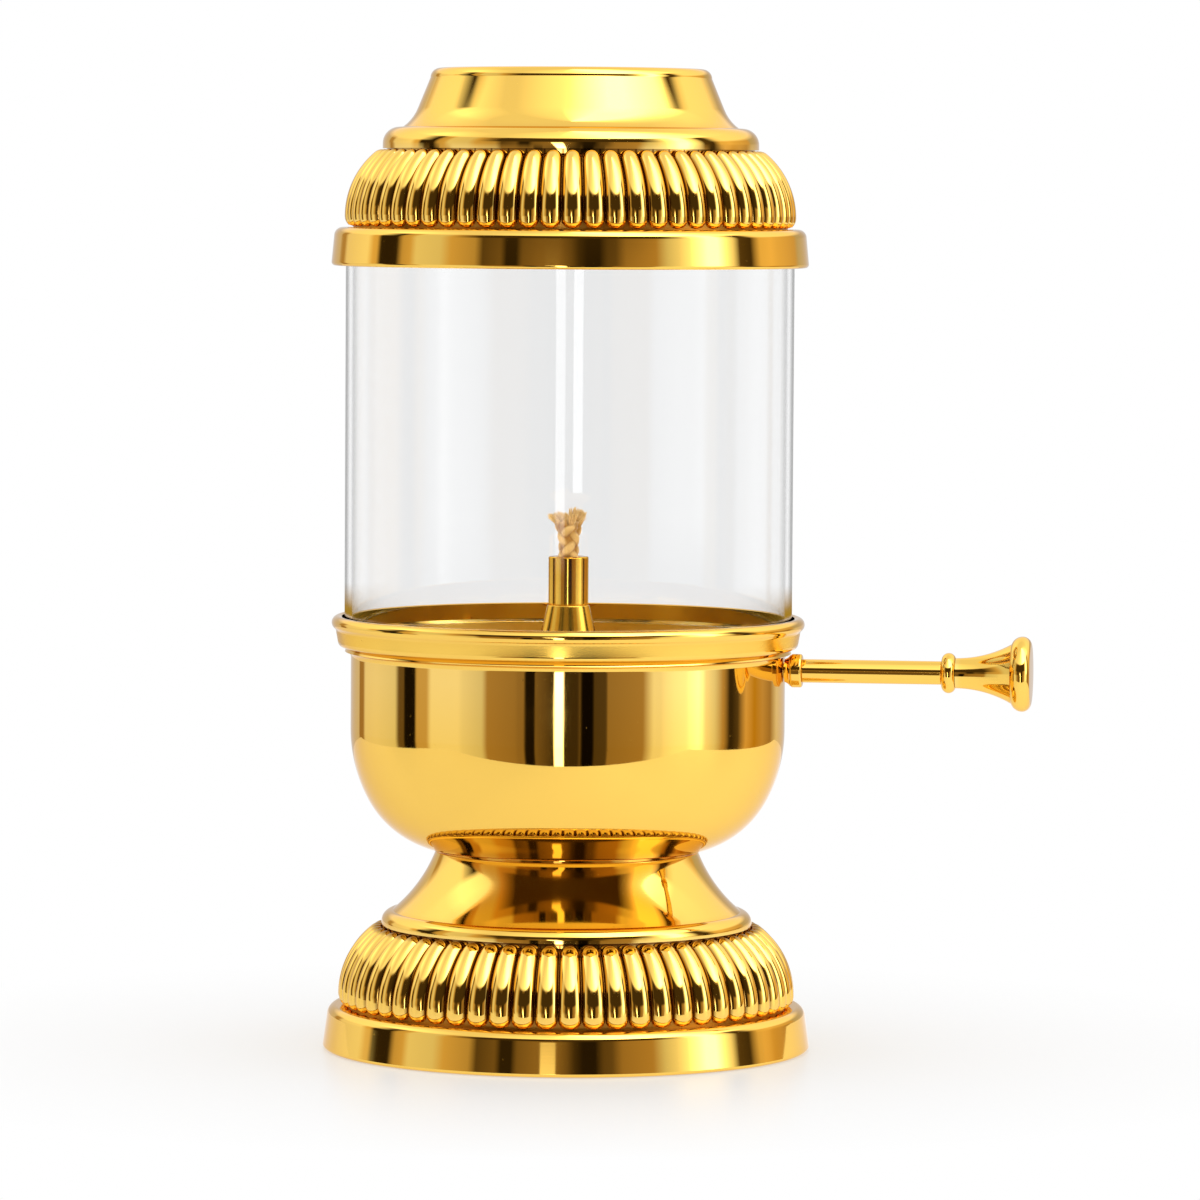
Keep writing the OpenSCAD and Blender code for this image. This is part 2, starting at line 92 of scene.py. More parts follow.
def draw(start, moves, lying=False):
    """Draws an outline from start. A move of two numbers is a line to (r, s), and one of three swings
    round the centre (r, s) by so many degrees, positive from r towards s."""
    at = Vector(start)
    bpy.ops.transform.translate(value=place(*at, lying))
    for move in moves:
        if len(move) == 2:
            to = Vector(move)
            step = place(*to, lying) - place(*at, lying)
            bpy.ops.mesh.extrude_region_move(TRANSFORM_OT_translate={"value": step})
        else:
            middle, degrees = move[:2], move[2]
            to = swung(at, middle, degrees)
            length = math.radians(abs(degrees)) * (at - Vector(middle)).length
            bpy.ops.mesh.spin(
                steps=max(4, round(abs(degrees) / ARC_DEGREES), round(length / ARC_LENGTH)),
                angle=math.radians(-degrees if lying else degrees),
                center=place(*middle, lying),
                axis=(0, 1, 0),
            )
        at = to


print("an arc gets a corner every", ARC_DEGREES, "degrees or", ARC_LENGTH, "mm")

# %% Turning and smoothing
ROUND_STEPS = 176


def close_up(threshold):
    """Merges the points that meet, points the faces outwards and leaves edit mode."""
    bpy.ops.mesh.select_all(action="SELECT")
    bpy.ops.mesh.remove_doubles(threshold=threshold)
    bpy.ops.mesh.normals_make_consistent(inside=False)
    bpy.ops.object.mode_set(mode="OBJECT")


def turn_round(lying=False, steps=ROUND_STEPS):
    """Spins the drawn outline a whole turn and closes it."""
    bpy.ops.mesh.select_all(action="SELECT")
    bpy.ops.mesh.spin(
        steps=steps,
        angle=2 * math.pi,
        center=place(0, 0, lying),
        axis=(1, 0, 0) if lying else (0, 0, 1),
    )
    close_up(1e-6)


def select_only(*pieces):
    """Selects these pieces and nothing else, and makes the last one active."""
    bpy.ops.object.select_all(action="DESELECT")
    for piece in pieces:
        piece.select_set(True)
    bpy.context.view_layer.objects.active = pieces[-1]


def smooth(piece, angle=32):
    """Smooth shading with crisp corners, in which wide plain faces keep their own direction."""
    select_only(piece)
    bpy.ops.object.shade_smooth_by_angle(angle=math.radians(angle))
    true_faces = piece.modifiers.new("true_faces", "WEIGHTED_NORMAL")
    true_faces.keep_sharp = True
    bpy.ops.object.modifier_apply(modifier=true_faces.name)


def turned(name, start, moves, lying=False, steps=ROUND_STEPS):
    """A turned piece from its outline, which ends where it starts or on the axis."""
    piece = start_piece(name)
    draw(start, moves, lying)
    turn_round(lying, steps)
    smooth(piece)
    print(name, len(piece.data.polygons), "faces")
    return piece


print("a whole turn takes", ROUND_STEPS, "steps")

# %% [markdown]
# ## The foot
# The foot is a low plain band with a rounded top edge, spun from sheet, with a ledge turned in at the
# top that carries the ribbed ring. The cap has the same band at another size, so the outline is a
# function of its radii. A torus and a cylinder would need joining; the outline is one clean skin.

# %% Band outline and the foot
SHEET = 1.8
EDGE = 1.0


def band(name, r, top_r, base, height, rounding, bore):
    """A band of sheet with a rounded top edge and a ledge inside its top."""
    top, shoulder = base + height, base + height - rounding
    return turned(name, (r - SHEET, base), [
        (r - EDGE, base),
        (r - EDGE, base + EDGE, 90),
        (top_r, shoulder),
        (top_r - rounding, shoulder, 90),
        (bore, top),
        (bore, top - SHEET),
        (top_r - rounding, top - SHEET),
        (top_r - rounding, shoulder, -90),
        (r - SHEET, base),
    ])


turned_foot = band("turned_foot", r=68.2, top_r=67.0, base=0, height=12, rounding=2.6, bore=50)

# %% [markdown]
# ## Gadroons
# Both ribbed rings carry gadroons: bent lobes with rounded ends that stand side by side, with a narrow
# valley between them. One lobe is modelled and the rest are copies. A circle gets the lobe's section,
# with a flat back that hides in the sheet. It is spun along the ring's curve to a bent tube, and each
# section is then scaled, which tapers the lobe towards the top and rounds its ends. A wave in a
# displacement map could give ribs too, but not these blunt, separate ends.

# %% A lobe's section
LOBE_DEPTH = 2.75
LOBE_BACK = 0.3
LOBE_POINTS = 20


def pick(piece, test):
    """Selects the vertices whose place passes a test."""
    mesh = bmesh.from_edit_mesh(piece.data)
    for v in mesh.verts:
        v.select = test(v.co)
    mesh.select_flush_mode()
    bmesh.update_edit_mesh(piece.data)


def lobe_section(name, half_width):
    """A lobe's section as a new piece in edit mode: round to the outside and flat at the back."""
    piece = primitive(
        name, bpy.ops.mesh.primitive_circle_add, vertices=LOBE_POINTS, radius=LOBE_DEPTH * MM)
    pick(piece, lambda co: co.x < 0)
    bpy.ops.transform.resize(value=(LOBE_BACK, 1, 1), center_override=(0, 0, 0))
    bpy.ops.mesh.select_all(action="SELECT")
    bpy.ops.transform.resize(value=(1, half_width / LOBE_DEPTH, 1), center_override=(0, 0, 0))
    return piece


print("a lobe is", LOBE_DEPTH, "mm deep, with", LOBE_POINTS, "points round it")

# %% One lobe and its copies
CROWN = 23.4
LOBE_SPREAD = 0.985
LOBE_END = 8.0
STEP = 1.8


def lobes(name, middle, low, high, count):
    """A ring of lobes on the crown line round middle, from angle low to angle high in degrees."""
    axis_r, widest = CROWN - LOBE_DEPTH, middle[0] + CROWN
    centre = place(*middle)
    piece = lobe_section(name, LOBE_SPREAD * widest * math.sin(math.pi / count))
    bpy.ops.transform.translate(value=centre + Vector((axis_r * MM, 0, 0)))
    up, down = round(high / STEP), round(-low / STEP)
    bpy.ops.mesh.spin(steps=up, angle=math.radians(high), center=centre, axis=(0, 1, 0))
    pick(piece, lambda co: abs(co.z - centre.z) < 1e-8)
    bpy.ops.mesh.spin(steps=down, angle=math.radians(low), center=centre, axis=(0, 1, 0))
    stations = [low - low / down * i for i in range(down)] + [high / up * i for i in range(up + 1)]
    for a in stations:
        lean = Vector((math.cos(math.radians(a)), 0, math.sin(math.radians(a))))
        end = max(0.0, 1 - min(a - low, high - a) / LOBE_END)
        full = math.sqrt(max(0.0, 1 - end * end))
        taper = (middle[0] + CROWN * lean.x) / widest
        on_axis = centre + lean * axis_r * MM
        pick(piece, lambda co: abs(
            math.degrees(math.atan2(co.z - centre.z, co.x - centre.x)) - a) < STEP / 4)
        bpy.ops.transform.resize(value=(full, full * taper, full), center_override=on_axis)
    bpy.ops.mesh.select_all(action="SELECT")
    bpy.ops.transform.rotate(value=math.pi / count, orient_axis="Z", center_override=(0, 0, 0))
    bpy.ops.mesh.spin(
        steps=count - 1,
        dupli=True,
        angle=2 * math.pi * (count - 1) / count,
        center=(0, 0, 0),
        axis=(0, 0, 1),
    )
    close_up(2e-6)
    return piece


print("the crowns lie", CROWN, "mm from the middle of the ring's curve")

# %% A ring with its lobes
RELIEF = 2.2
BODY_R = CROWN - RELIEF
CURVE_RISE = 3
FLANGE_BORE = 40
FOOT_RING, FOOT_LOBES = (12, 63.9), 60


def ring_middle(base, reach):
    """The middle of a ring's curve, from the height of its base and the reach of its lobes."""
    return reach - CROWN, base + CURVE_RISE


def gadroons(name, base, reach, height, count):
    """A ring of sheet whose lobes reach out to a radius, with a flange inside its top."""
    middle, in_r = ring_middle(base, reach), BODY_R - SHEET
    top, under = base + height, base + height - SHEET

    def angle(z, r):
        return math.degrees(math.asin((z - middle[1]) / r))

    def on(r, a):
        return tuple(swung((middle[0] + r, middle[1]), middle, a))

    low, high = angle(base, BODY_R), angle(top - 1.3, BODY_R)
    in_low, in_high = angle(base, in_r), angle(under, in_r)
    body = start_piece(name)
    draw(on(BODY_R, low), [
        (*middle, high - low),
        (on(BODY_R, high)[0], top),
        (FLANGE_BORE, top),
        (FLANGE_BORE, under),
        on(in_r, in_high),
        (*middle, in_low - in_high),
        on(BODY_R, low),
    ])
    turn_round()
    lobe_low, lobe_high = angle(base + 0.1, CROWN - LOBE_DEPTH), angle(top, CROWN) + 4
    skin = lobes(name + "_lobes", middle, lobe_low, lobe_high, count)
    select_only(skin, body)
    bpy.ops.object.join()
    smooth(body, 40)
    print(name, count, "lobes", len(body.data.polygons), "faces")
    return body


foot_gadroons = gadroons("foot_gadroons", *FOOT_RING, 22.6, FOOT_LOBES)

# %% [markdown]
# ## The pedestal's neck
# Above the ribbed ring sits a neck: a rounded lip that hides the lobes' upper ends, a narrow step, and
# a hollow flare that draws in upwards to the plate that carries the bowl. A groove is turned in at the
# very top, so that neck and bowl meet in a dark line. The cap's neck starts with the same lip.

# %% Neck
FOOT_LIP = 34.6
FLARE_MIDDLE = (75.27, 70.16)


def lip(base, r, height, rounding, step):
    """The first moves of a neck, from the lip's lower edge (r, base) to the inner end of its step."""
    edge = base + height - rounding
    return [(r, edge), (r - rounding, edge, 90), (r - rounding - step, base + height)]


flared_neck = turned("flared_neck", (51.9, FOOT_LIP), [
    *lip(FOOT_LIP, 51.9, 3.9, 3.1, 0.1),
    (*FLARE_MIDDLE, -28.33),
    (36.56, 54.9, 90),
    (33.8, 55.2),
    (33.8, 56.1),
    (13.3, 56.1),
    (13.3, 53.1),
    (35.66, 53.1),
    (*FLARE_MIDDLE, 28.0),
    (48.3, FOOT_LIP),
    (51.9, FOOT_LIP),
])

# %% [markdown]
# ## The bowl
# The bowl is the lamp's mirror: a straight wall that runs tangent into a deep round underside, which
# itself takes two radii. A half sphere could be squeezed into this shape, but its rows would show as
# waves in the reflections. So the wall is one long straight line of the outline, and each arc starts
# in the direction in which the last one ended.

# %% Bowl
BOWL_R, BOWL_IN = 60.7, 59.1
SIDE_MIDDLE, UNDER_MIDDLE = (18.7, 89.5), (31.45, 82.58)
BOWL_TOP = 109.4

spun_bowl = turned("spun_bowl", (0, 56.1), [
    (38.87, 56.1),
    (*UNDER_MIDDLE, 45.95),
    (*SIDE_MIDDLE, 28.4),
    (BOWL_R, BOWL_TOP),
    (BOWL_IN, BOWL_TOP),
    (BOWL_IN, SIDE_MIDDLE[1]),
    (*SIDE_MIDDLE, -28.4),
    (*UNDER_MIDDLE, -45.46),
    (0, 57.7),
])

# %% [markdown]
# ## The gallery
# The gallery is the ring on the bowl's edge that carries the glass: a cove, a shallow hollow, a band
# and a rolled lip, with a seat behind the lip. A bevelled cylinder would give an upright band, which
# mirrors the dark camera side. The real band catches the light, so here it leans out by half a
# millimetre towards its top.

# %% Gallery
ROLL = (64.2, 119.1)
SEAT = 115.5
BAND_LOW, BAND_TOP = 113.8, 116.9

bowl_gallery = turned("bowl_gallery", (BOWL_IN, BOWL_TOP), [
    (BOWL_R, BOWL_TOP),
    (62.4, BOWL_TOP, -90),
    (61.9, 112.3),
    (62.95, 112.4),
    (62.95, BAND_LOW, 90),
    (64.9, BAND_TOP),
    (65.15, 117.45),
    (*ROLL, 178.3),
    (63.3, SEAT),
    (BOWL_IN, SEAT),
    (BOWL_IN, BOWL_TOP),
])

# %% [markdown]
# ## The handle
# The handle is turned from bar: a screw, a collar, a slim rod, a bead and a trumpet-shaped knob with
# a rolled lip. It lies along X, so the same pen moves are laid along the handle's axis. The screw
# gets the ridges of its thread as small steps of the outline, for when the handle is unscrewed. A
# true helix would need a sweep, and nobody could tell them apart at this size.

# %% Saddle, collar and rod
HANDLE_STEPS = 72
THREAD_START, THREAD_TURNS, THREAD_PITCH = 55.0, 9, 0.8


def turned_along(name, start, moves):
    """A piece that is turned along the handle's axis."""
    return turned(name, start, moves, lying=True, steps=HANDLE_STEPS)


handle_seat = turned_along("handle_seat", (2.1, 61.0), [
    (3.2, 61.0),
    (3.4, 61.5),
    (3.8, 62.1),
    (4.3, 62.5),
    (4.3, 62.7),
    (2.1, 62.7),
    (2.1, 61.0),
])
screw_collar = turned_along("screw_collar", (2.02, 62.7), [
    (4.05, 62.7),
    (4.05, 63.3, 90),
    (4.65, 65.3),
    (4.05, 65.3, 90),
    (2.02, 65.9),
    (2.02, 62.7),
])
ridges = []
for turn in range(THREAD_TURNS):
    foot = THREAD_START + THREAD_PITCH * turn
    ridges += [(2.0, foot), (2.0, foot + 0.15), (1.7, foot + 0.45), (1.7, foot + 0.5)]
handle_bar = turned_along("handle_bar", (0, 54.3), [
    (1.6, 54.3),
    *ridges,
    (2.0, 62.3),
    (2.0, 65.9),
    (2.95, 65.9),
    (2.95, 66.2, 90),
    (3.25, 104.5),
    (2.95, 104.5, 90),
    (2.2, 104.8),
    (2.2, 114.7),
    (0, 114.7),
])

# %% Bead and knob
turned_bead = turned_along("turned_bead", (2.22, 104.8), [
    (3.65, 104.8),
    (3.65, 106.75, 180),
    (2.22, 108.7),
    (2.22, 104.8),
])
trumpet_knob = turned_along("trumpet_knob", (2.22, 108.7), [
    (4.2, 108.7),
    (35.55, 108.7, -29.63),
    (7.28, 127.2, 71.2),
    (7.95, 127.2, 90),
    (0, 129.8),
    (0, 114.8),
    (2.22, 114.8),
    (2.22, 108.7),
])

# %% [markdown]
# ## Burner and glass
# A tube holds the wick in the middle of the bowl, on a short cone. The glass is a plain cylinder that
# was cut and fire-polished, so its edges are fully round. A wall with real thickness is needed here:
# the thin grey lines at the sides of the chimney are rays that run along inside the wall.

# %% Cone, tube and glass
BURNER_STEPS = 96

burner_cup = turned("burner_cup", (4.52, 116.4), [
    (6.8, 116.4),
    (6.8, 117.1, 90),
    (5.95, 123.9),
    (5.7, 124.2),
    (4.52, 124.2),
    (4.52, 116.4),
], steps=BURNER_STEPS)
wick_holder = turned("wick_holder", (3.2, 124.2), [
    (5.6, 124.2),
    (5.6, 137.3),
    (5.1, 137.3, 90),
    (3.6, 137.8),
    (3.6, 137.4, 90),
    (3.2, 124.2),
], steps=BURNER_STEPS)
clear_chimney = turned("clear_chimney", (61.4, SEAT), [
    (61.6, SEAT),
    (61.6, 116.4, 90),
    (62.5, 226.6),
    (61.6, 226.6, 90),
    (61.4, 227.5),
    (61.4, 226.6, 90),
    (60.5, 116.4),
    (61.4, 116.4, 90),
])

# %% [markdown]
# ## The cap
# The cap repeats the foot: the plain band over the glass, a ring of gadroons, and a neck with a lip.
# Its neck is nearly straight, with a tight hollow only at the bottom, and ends in the rolled mouth of
# the vent. Scaled copies of the foot would have the wrong sheet and lobes, so the functions made for
# the foot build it again at its own sizes.

# %% Cap
CAP_RING, CAP_LOBES = (229.3, 62.9), 64
CAP_LIP = 251.2
HOLLOW_MIDDLE = (53.6, 266.84)

cap_band = band("cap_band", r=66.5, top_r=65.8, base=218.6, height=10.7, rounding=2.4, bore=52)
cap_gadroons = gadroons("cap_gadroons", *CAP_RING, 21.9, CAP_LOBES)
vent_neck = turned("vent_neck", (52.4, CAP_LIP), [
    *lip(CAP_LIP, 52.4, 6, 4.6, 1.0),
    (*HOLLOW_MIDDLE, -33.0),
    (39.2, 270.9),
    (36.5, 270.9, 90),
    (35.5, 273.6),
    (35.5, 272.7, 90),
    (34.6, 270.9),
    (39.15, 266.3),
    (40.97, 261.79),
    (*HOLLOW_MIDDLE, 33.0),
    (45.76, CAP_LIP),
    (52.4, CAP_LIP),
])

# %% [markdown]
# ## The wick
# The wick is a braid of six soft cotton strands round a core, three winding each way, each passing
# over one and under the next. Every strand is a curve with a round section that follows this path,
# made a mesh when it is done. A bump map on a cylinder would look printed on at this size, so the
# strands are real. Above the tube they spread, slowly at first, because the wick is also pushed down.

# %% Path of a strand
BRAID_LOW, BRAID_TOP = 68.5, 141.2
STRAND_END = 148.2
WIND_END = 146.5
BRAID_R, BRAID_WEAVE, BRAID_FLARE = 1.33, 0.45, 2.3
STRANDS = 3
CROSSING = 2.8
CROSSING_FACES = math.radians(-82)


def strand_path(way, number, z):
    """Where a strand is at height z, in millimetres: way is 1 or -1, the direction that it winds."""
    over = way * BRAID_WEAVE * math.cos(math.pi * z / CROSSING)
    winds = way * (math.pi / STRANDS) * min(z, WIND_END) / CROSSING
    a = CROSSING_FACES + winds + 2 * math.pi * number / STRANDS
    loose = max(0.0, (z - BRAID_TOP) / (STRAND_END - BRAID_TOP))
    r = BRAID_R + over + BRAID_FLARE * loose * loose
    return Vector((r * math.cos(a), r * math.sin(a), z)) * MM


print("strands cross every", CROSSING, "mm")

# %% Braid
STRAND_R, STRAND_STEP = 1.35, 0.45
THIN_FROM = 145
CORE_WIDTHS = [(BRAID_LOW, 1.5), (BRAID_TOP, 1.5), (147.5, 2.1)]


def tubes(name, paths, depth, sides):
    """A mesh of round tubes along lists of (point, share of the full thickness)."""
    curve = bpy.data.curves.new(name, "CURVE")
    curve.dimensions = "3D"
    curve.bevel_depth = depth * MM
    curve.bevel_resolution = sides
    curve.use_fill_caps = True
    for path in paths:
        spline = curve.splines.new("POLY")
        spline.points.add(len(path) - 1)
        for point, (at, share) in zip(spline.points, path):
            point.co = (*at, 1)
            point.radius = share
    piece = bpy.data.objects.new(name, curve)
    bpy.context.scene.collection.objects.link(piece)
    select_only(piece)
    bpy.ops.object.convert(target="MESH")
    piece = bpy.context.object
    bpy.ops.object.shade_smooth()
    print(name, len(paths), "tubes", len(piece.data.polygons), "faces")
    return piece


def strand(way, number):
    """A strand from the bottom of the wick to its loose end, which thins out."""
    path = []
    for i in range(int((STRAND_END - BRAID_LOW) / STRAND_STEP) + 1):
        z = BRAID_LOW + STRAND_STEP * i
        thin = max(0.0, (z - THIN_FROM) / (STRAND_END - THIN_FROM))
        path.append((strand_path(way, number, z), 1 - 0.75 * thin ** 2))
    return path


strands = [strand(way, number) for way in (1, -1) for number in range(STRANDS)]
core = [(Vector((0, 0, z)) * MM, share) for z, share in CORE_WIDTHS]
braided_wick = tubes("braided_wick", strands + [core], STRAND_R, 3)

# %% [markdown]
# ## The frayed top
# At the top the strands come apart into loose fibres, which lean together in a few tufts. A hair system
# could grow them, but it doesn't export, so each fibre is a thin tube with its own lean and height.
# The random numbers start from a fixed seed, so every run gives the same fray.

# %% Loose fibres
FIBRES = 54
FIBRE_R, FIBRE_SPREAD, FIBRE_LEAN = 0.19, 0.8, 0.7
FIBRE_POINTS = 5
TUFT_FOOT = 146.2
chance = random.Random(7)


def fibre(tuft, height):
    """One fibre of a tuft: it starts inside a strand's end, leans outwards and ends at its own height."""
    a, far = chance.uniform(0, 2 * math.pi), math.sqrt(chance.random())
    spread = Vector((math.cos(a), math.sin(a), 0)) * far
    root = tuft + spread * FIBRE_SPREAD * MM
    lean = Vector((tuft.x, tuft.y, 0)) * FIBRE_LEAN + spread * FIBRE_SPREAD * MM
    rise = height + 0.12 * tuft.x / MM - 0.5 * far * far + chance.uniform(-0.8, 0.5)
    path = []
    for i in range(FIBRE_POINTS):
        t = i / (FIBRE_POINTS - 1)
        path.append((root + lean * t ** 1.3 + Vector((0, 0, rise * t * MM)), 1 - 0.7 * t ** 3))
    return path


tufts = []
for way in (1, -1):
    for number in range(STRANDS):
        tufts.append((strand_path(way, number, TUFT_FOOT), chance.uniform(3.2, 4.6)))
tufts.append((Vector((0.9, 0.4, 146.0)) * MM, 5.2))
tufts.append((Vector((-0.9, 0.8, 145.6)) * MM, 4.2))
frayed_top = tubes(
    "frayed_top", [fibre(*tuft) for tuft in tufts for _ in range(FIBRES)], FIBRE_R, 0)

# %% [markdown]
# ## Marks that several finishes share
# Metal that was spun and buffed keeps faint rings round its axis, soft smudges and a few specks.
# Edges are rubbed brighter than the rest and hollows stay a little darker. Each of these is a node
# group, made once. It only puts out masks and heights, so a material decides what to do with them.

# %% Node helpers
def node_group(name, inputs, outputs):
    """A shader node group with named sockets, and its input and output nodes."""
    group = bpy.data.node_groups.new(name, "ShaderNodeTree")
    for label, kind in inputs:
        group.interface.new_socket(name=label, in_out="INPUT", socket_type=kind)
    for label in outputs:
        group.interface.new_socket(name=label, in_out="OUTPUT", socket_type="NodeSocketFloat")
    return group, group.nodes.new("NodeGroupInput"), group.nodes.new("NodeGroupOutput")


def feed(tree, value, slot):
    """Links a socket to an input, or writes a plain value in it."""
    if isinstance(value, bpy.types.NodeSocket):
        tree.links.new(value, slot)
    else:
        slot.default_value = value


def set_inputs(tree, node, **values):
    """Feeds a node's inputs by their names, with _ for each space."""
    for key, value in values.items():
        feed(tree, value, node.inputs[key.replace("_", " ")])


def add(tree, kind, **values):
    """A shader node with its properties and inputs set. A name with a capital is an input."""
    made = tree.nodes.new("ShaderNode" + kind)
    for key, value in values.items():
        if key[0].isupper():
            set_inputs(tree, made, **{key: value})
        else:
            setattr(made, key, value)
    return made


print("a node takes sockets and plain values alike")

# %% Sums and mixes
def math_node(tree, operation, a, b=0.0):
    """A Math node whose inputs are sockets or numbers."""
    made = add(tree, "Math", operation=operation)
    feed(tree, a, made.inputs[0])
    feed(tree, b, made.inputs[1])
    return made.outputs[0]


def times(tree, a, b):
    """A product of two sockets or numbers."""
    return math_node(tree, "MULTIPLY", a, b)


def mixed(tree, share, a, b, blend="MIX"):
    """A colour mix of two colours or sockets by a mask."""
    made = add(tree, "Mix", data_type="RGBA", blend_type=blend)
    feed(tree, share, made.inputs[0])
    feed(tree, a, made.inputs[6])
    feed(tree, b, made.inputs[7])
    return made.outputs[2]


def span(tree, value, low, high, to_low=0.0, to_high=1.0):
    """A Map Range node from one span of values to another, held at its ends."""
    made = add(tree, "MapRange", From_Min=low, From_Max=high, To_Min=to_low, To_Max=to_high)
    tree.links.new(value, made.inputs["Value"])
    return made.outputs["Result"]


def xyz(tree, at):
    """The X, Y and Z of a place or a direction."""
    return add(tree, "SeparateXYZ", Vector=at).outputs


def from_axis(tree, x, y):
    """How far a place lies from the Z axis."""
    flat = add(tree, "CombineXYZ", X=x, Y=y).outputs["Vector"]
    return add(tree, "VectorMath", operation="LENGTH", Vector=flat).outputs["Value"]


print("masks run from 0 to 1")

# %% Buffing marks
buffing, buff_in, buff_out = node_group(
    "buffing_marks", [("Place", "NodeSocketVector")], ["Rings", "Smudge", "Specks", "Wave"])
at = buff_in.outputs["Place"]
x, y, z = xyz(buffing, at)
round_it = times(buffing, math_node(buffing, "ARCTAN2", y, x), 0.0006)
lathe_place = add(buffing, "CombineXYZ", X=from_axis(buffing, x, y), Y=z, Z=round_it)
rings = add(buffing, "TexNoise", Scale=2400.0, Detail=3.0, Roughness=0.6,
            Vector=lathe_place.outputs["Vector"])
smudge = add(buffing, "TexNoise", Scale=34.0, Detail=4.0, Roughness=0.55, Vector=at)
grains = add(buffing, "TexVoronoi", Scale=520.0, Vector=at)
grain_tone = add(buffing, "SeparateColor", Color=grains.outputs["Color"])
few = math_node(buffing, "GREATER_THAN", grain_tone.outputs["Red"], 0.965)
small = span(buffing, grains.outputs["Distance"], 0.12, 0.2, 1.0, 0.0)
wave = add(buffing, "TexNoise", Scale=30.0, Detail=1.0, Vector=at)
set_inputs(
    buffing, buff_out,
    Rings=rings.outputs["Fac"],
    Smudge=span(buffing, smudge.outputs["Fac"], 0.45, 0.75),
    Specks=times(buffing, few, small),
    Wave=wave.outputs["Fac"],
)
print("group", buffing.name)

# %% Rubbed edges and dark hollows
edges, _, edge_out = node_group("edge_tones", [], ["Rubbed", "Hollow"])
bend = add(edges, "NewGeometry").outputs["Pointiness"]
set_inputs(edges, edge_out, Rubbed=span(edges, bend, 0.515, 0.58), Hollow=span(edges, bend, 0.49, 0.42))
print("group", edges.name)

# %% Painted shade between lobes
# Painted shade: a mask for the valleys between the lobes and for a band just under the lip, which are
# darkened as if in shade.
valley_shade, valley_in, valley_out = node_group(
    "lobe_valley_shade",
    [("Place", "NodeSocketVector"), ("Lobes", "NodeSocketFloat"), ("Top", "NodeSocketFloat")],
    ["Valley"])
x, y, z = xyz(valley_shade, valley_in.outputs["Place"])
turns = times(valley_shade, math_node(valley_shade, "ARCTAN2", y, x), 1 / (2 * math.pi))
across = math_node(valley_shade, "FRACT", times(valley_shade, turns, valley_in.outputs["Lobes"]))
from_crown = math_node(valley_shade, "ABSOLUTE", math_node(valley_shade, "SUBTRACT", across, 0.5))
between = span(valley_shade, from_crown, 0.36, 0.475)
above = math_node(valley_shade, "SUBTRACT", z, valley_in.outputs["Top"])
under_lip = span(valley_shade, above, -0.0016, -0.0004)
set_inputs(valley_shade, valley_out, Valley=math_node(valley_shade, "MAXIMUM", between, under_lip))
print("group", valley_shade.name)

# %% [markdown]
# ## Brass
# Polished brass is a metal with a yellow reflection, nearly a mirror, and a thin clear lacquer keeps it
# so. The base colour is the tone that it shows where it reflects white. A plain metal turns white where
# it is seen along its surface; a golden specular tint keeps the edges yellow, as they are on the lamp.
# The buffing rings only tilt the surface by a hair, the smudges and specks change the gloss, rubbed
# edges go paler and hollows redder. One function builds all metals, so that they age alike.

# %% How a metal is built
BRASS = (0.92, 0.585, 0.105, 1)
BRASS_PALE = (0.96, 0.68, 0.22, 1)
BRASS_DEEP = (0.66, 0.33, 0.05, 1)
# Painted shade: a dark brown for the lobes' valleys and for the ribbed rings' bodies.
PAINTED_SHADE_BROWN = (0.16, 0.06, 0.008, 1)
EDGE_TINT = (0.80, 0.66, 0.50, 1)
RUBBED_PALE, HOLLOW_DEEP, SMUDGE_DEEP = 0.55, 0.6, 0.06
SMUDGE_DULL, SPECK_DULL = 0.045, 0.12
WAVE_HEIGHT, MARK_DEPTH = 18.0, 0.00002


def new_finish(name):
    """A material with its tree and its Principled shader."""
    material = bpy.data.materials.new(name)
    material.use_nodes = True
    return material, material.node_tree, material.node_tree.nodes["Principled BSDF"]


def metal(name, colour, pale, deep, gloss, turn=(0, 0, 0), middle=(0, 0, 0), lobe_count=0, lobe_top=0.0,
          lacquer=0.0, relief=0.03, edge=EDGE_TINT):
    """A buffed metal. turn and middle bring the axis that it was turned about on to Z."""
    material, tree, shader = new_finish(name)
    at = add(tree, "TexCoord").outputs["Object"]
    lay = add(tree, "Mapping", vector_type="TEXTURE", Location=middle, Rotation=turn, Vector=at)
    marks = add(tree, "Group", node_tree=buffing, Place=lay.outputs["Vector"]).outputs
    tones = add(tree, "Group", node_tree=edges).outputs
    tone = mixed(tree, times(tree, tones["Rubbed"], RUBBED_PALE), colour, pale)
    tone = mixed(tree, times(tree, tones["Hollow"], HOLLOW_DEEP), tone, deep)
    tone = mixed(tree, times(tree, marks["Smudge"], SMUDGE_DEEP), tone, deep)
    # Painted shade: on a ribbed ring the valleys between lobes and the band under the lip turn dark
    # brown.
    if lobe_count:
        between = add(tree, "Group", node_tree=valley_shade, Place=at, Lobes=lobe_count,
                      Top=lobe_top * MM)
        tone = mixed(tree, between.outputs["Valley"], tone, PAINTED_SHADE_BROWN)
    smudged = times(tree, marks["Smudge"], SMUDGE_DULL)
    dull = math_node(tree, "ADD", smudged, times(tree, marks["Specks"], SPECK_DULL))
    height = math_node(tree, "ADD", times(tree, marks["Wave"], WAVE_HEIGHT), marks["Rings"])
    bump = add(tree, "Bump", Strength=relief, Distance=MARK_DEPTH, Height=height)
    set_inputs(
        tree, shader,
        Base_Color=tone,
        Metallic=1.0,
        Roughness=math_node(tree, "ADD", dull, gloss),
        Normal=bump.outputs["Normal"],
        Coat_Weight=lacquer,
        Specular_Tint=edge,
    )
    return material


print("brass reflects", BRASS[:3], "of white")
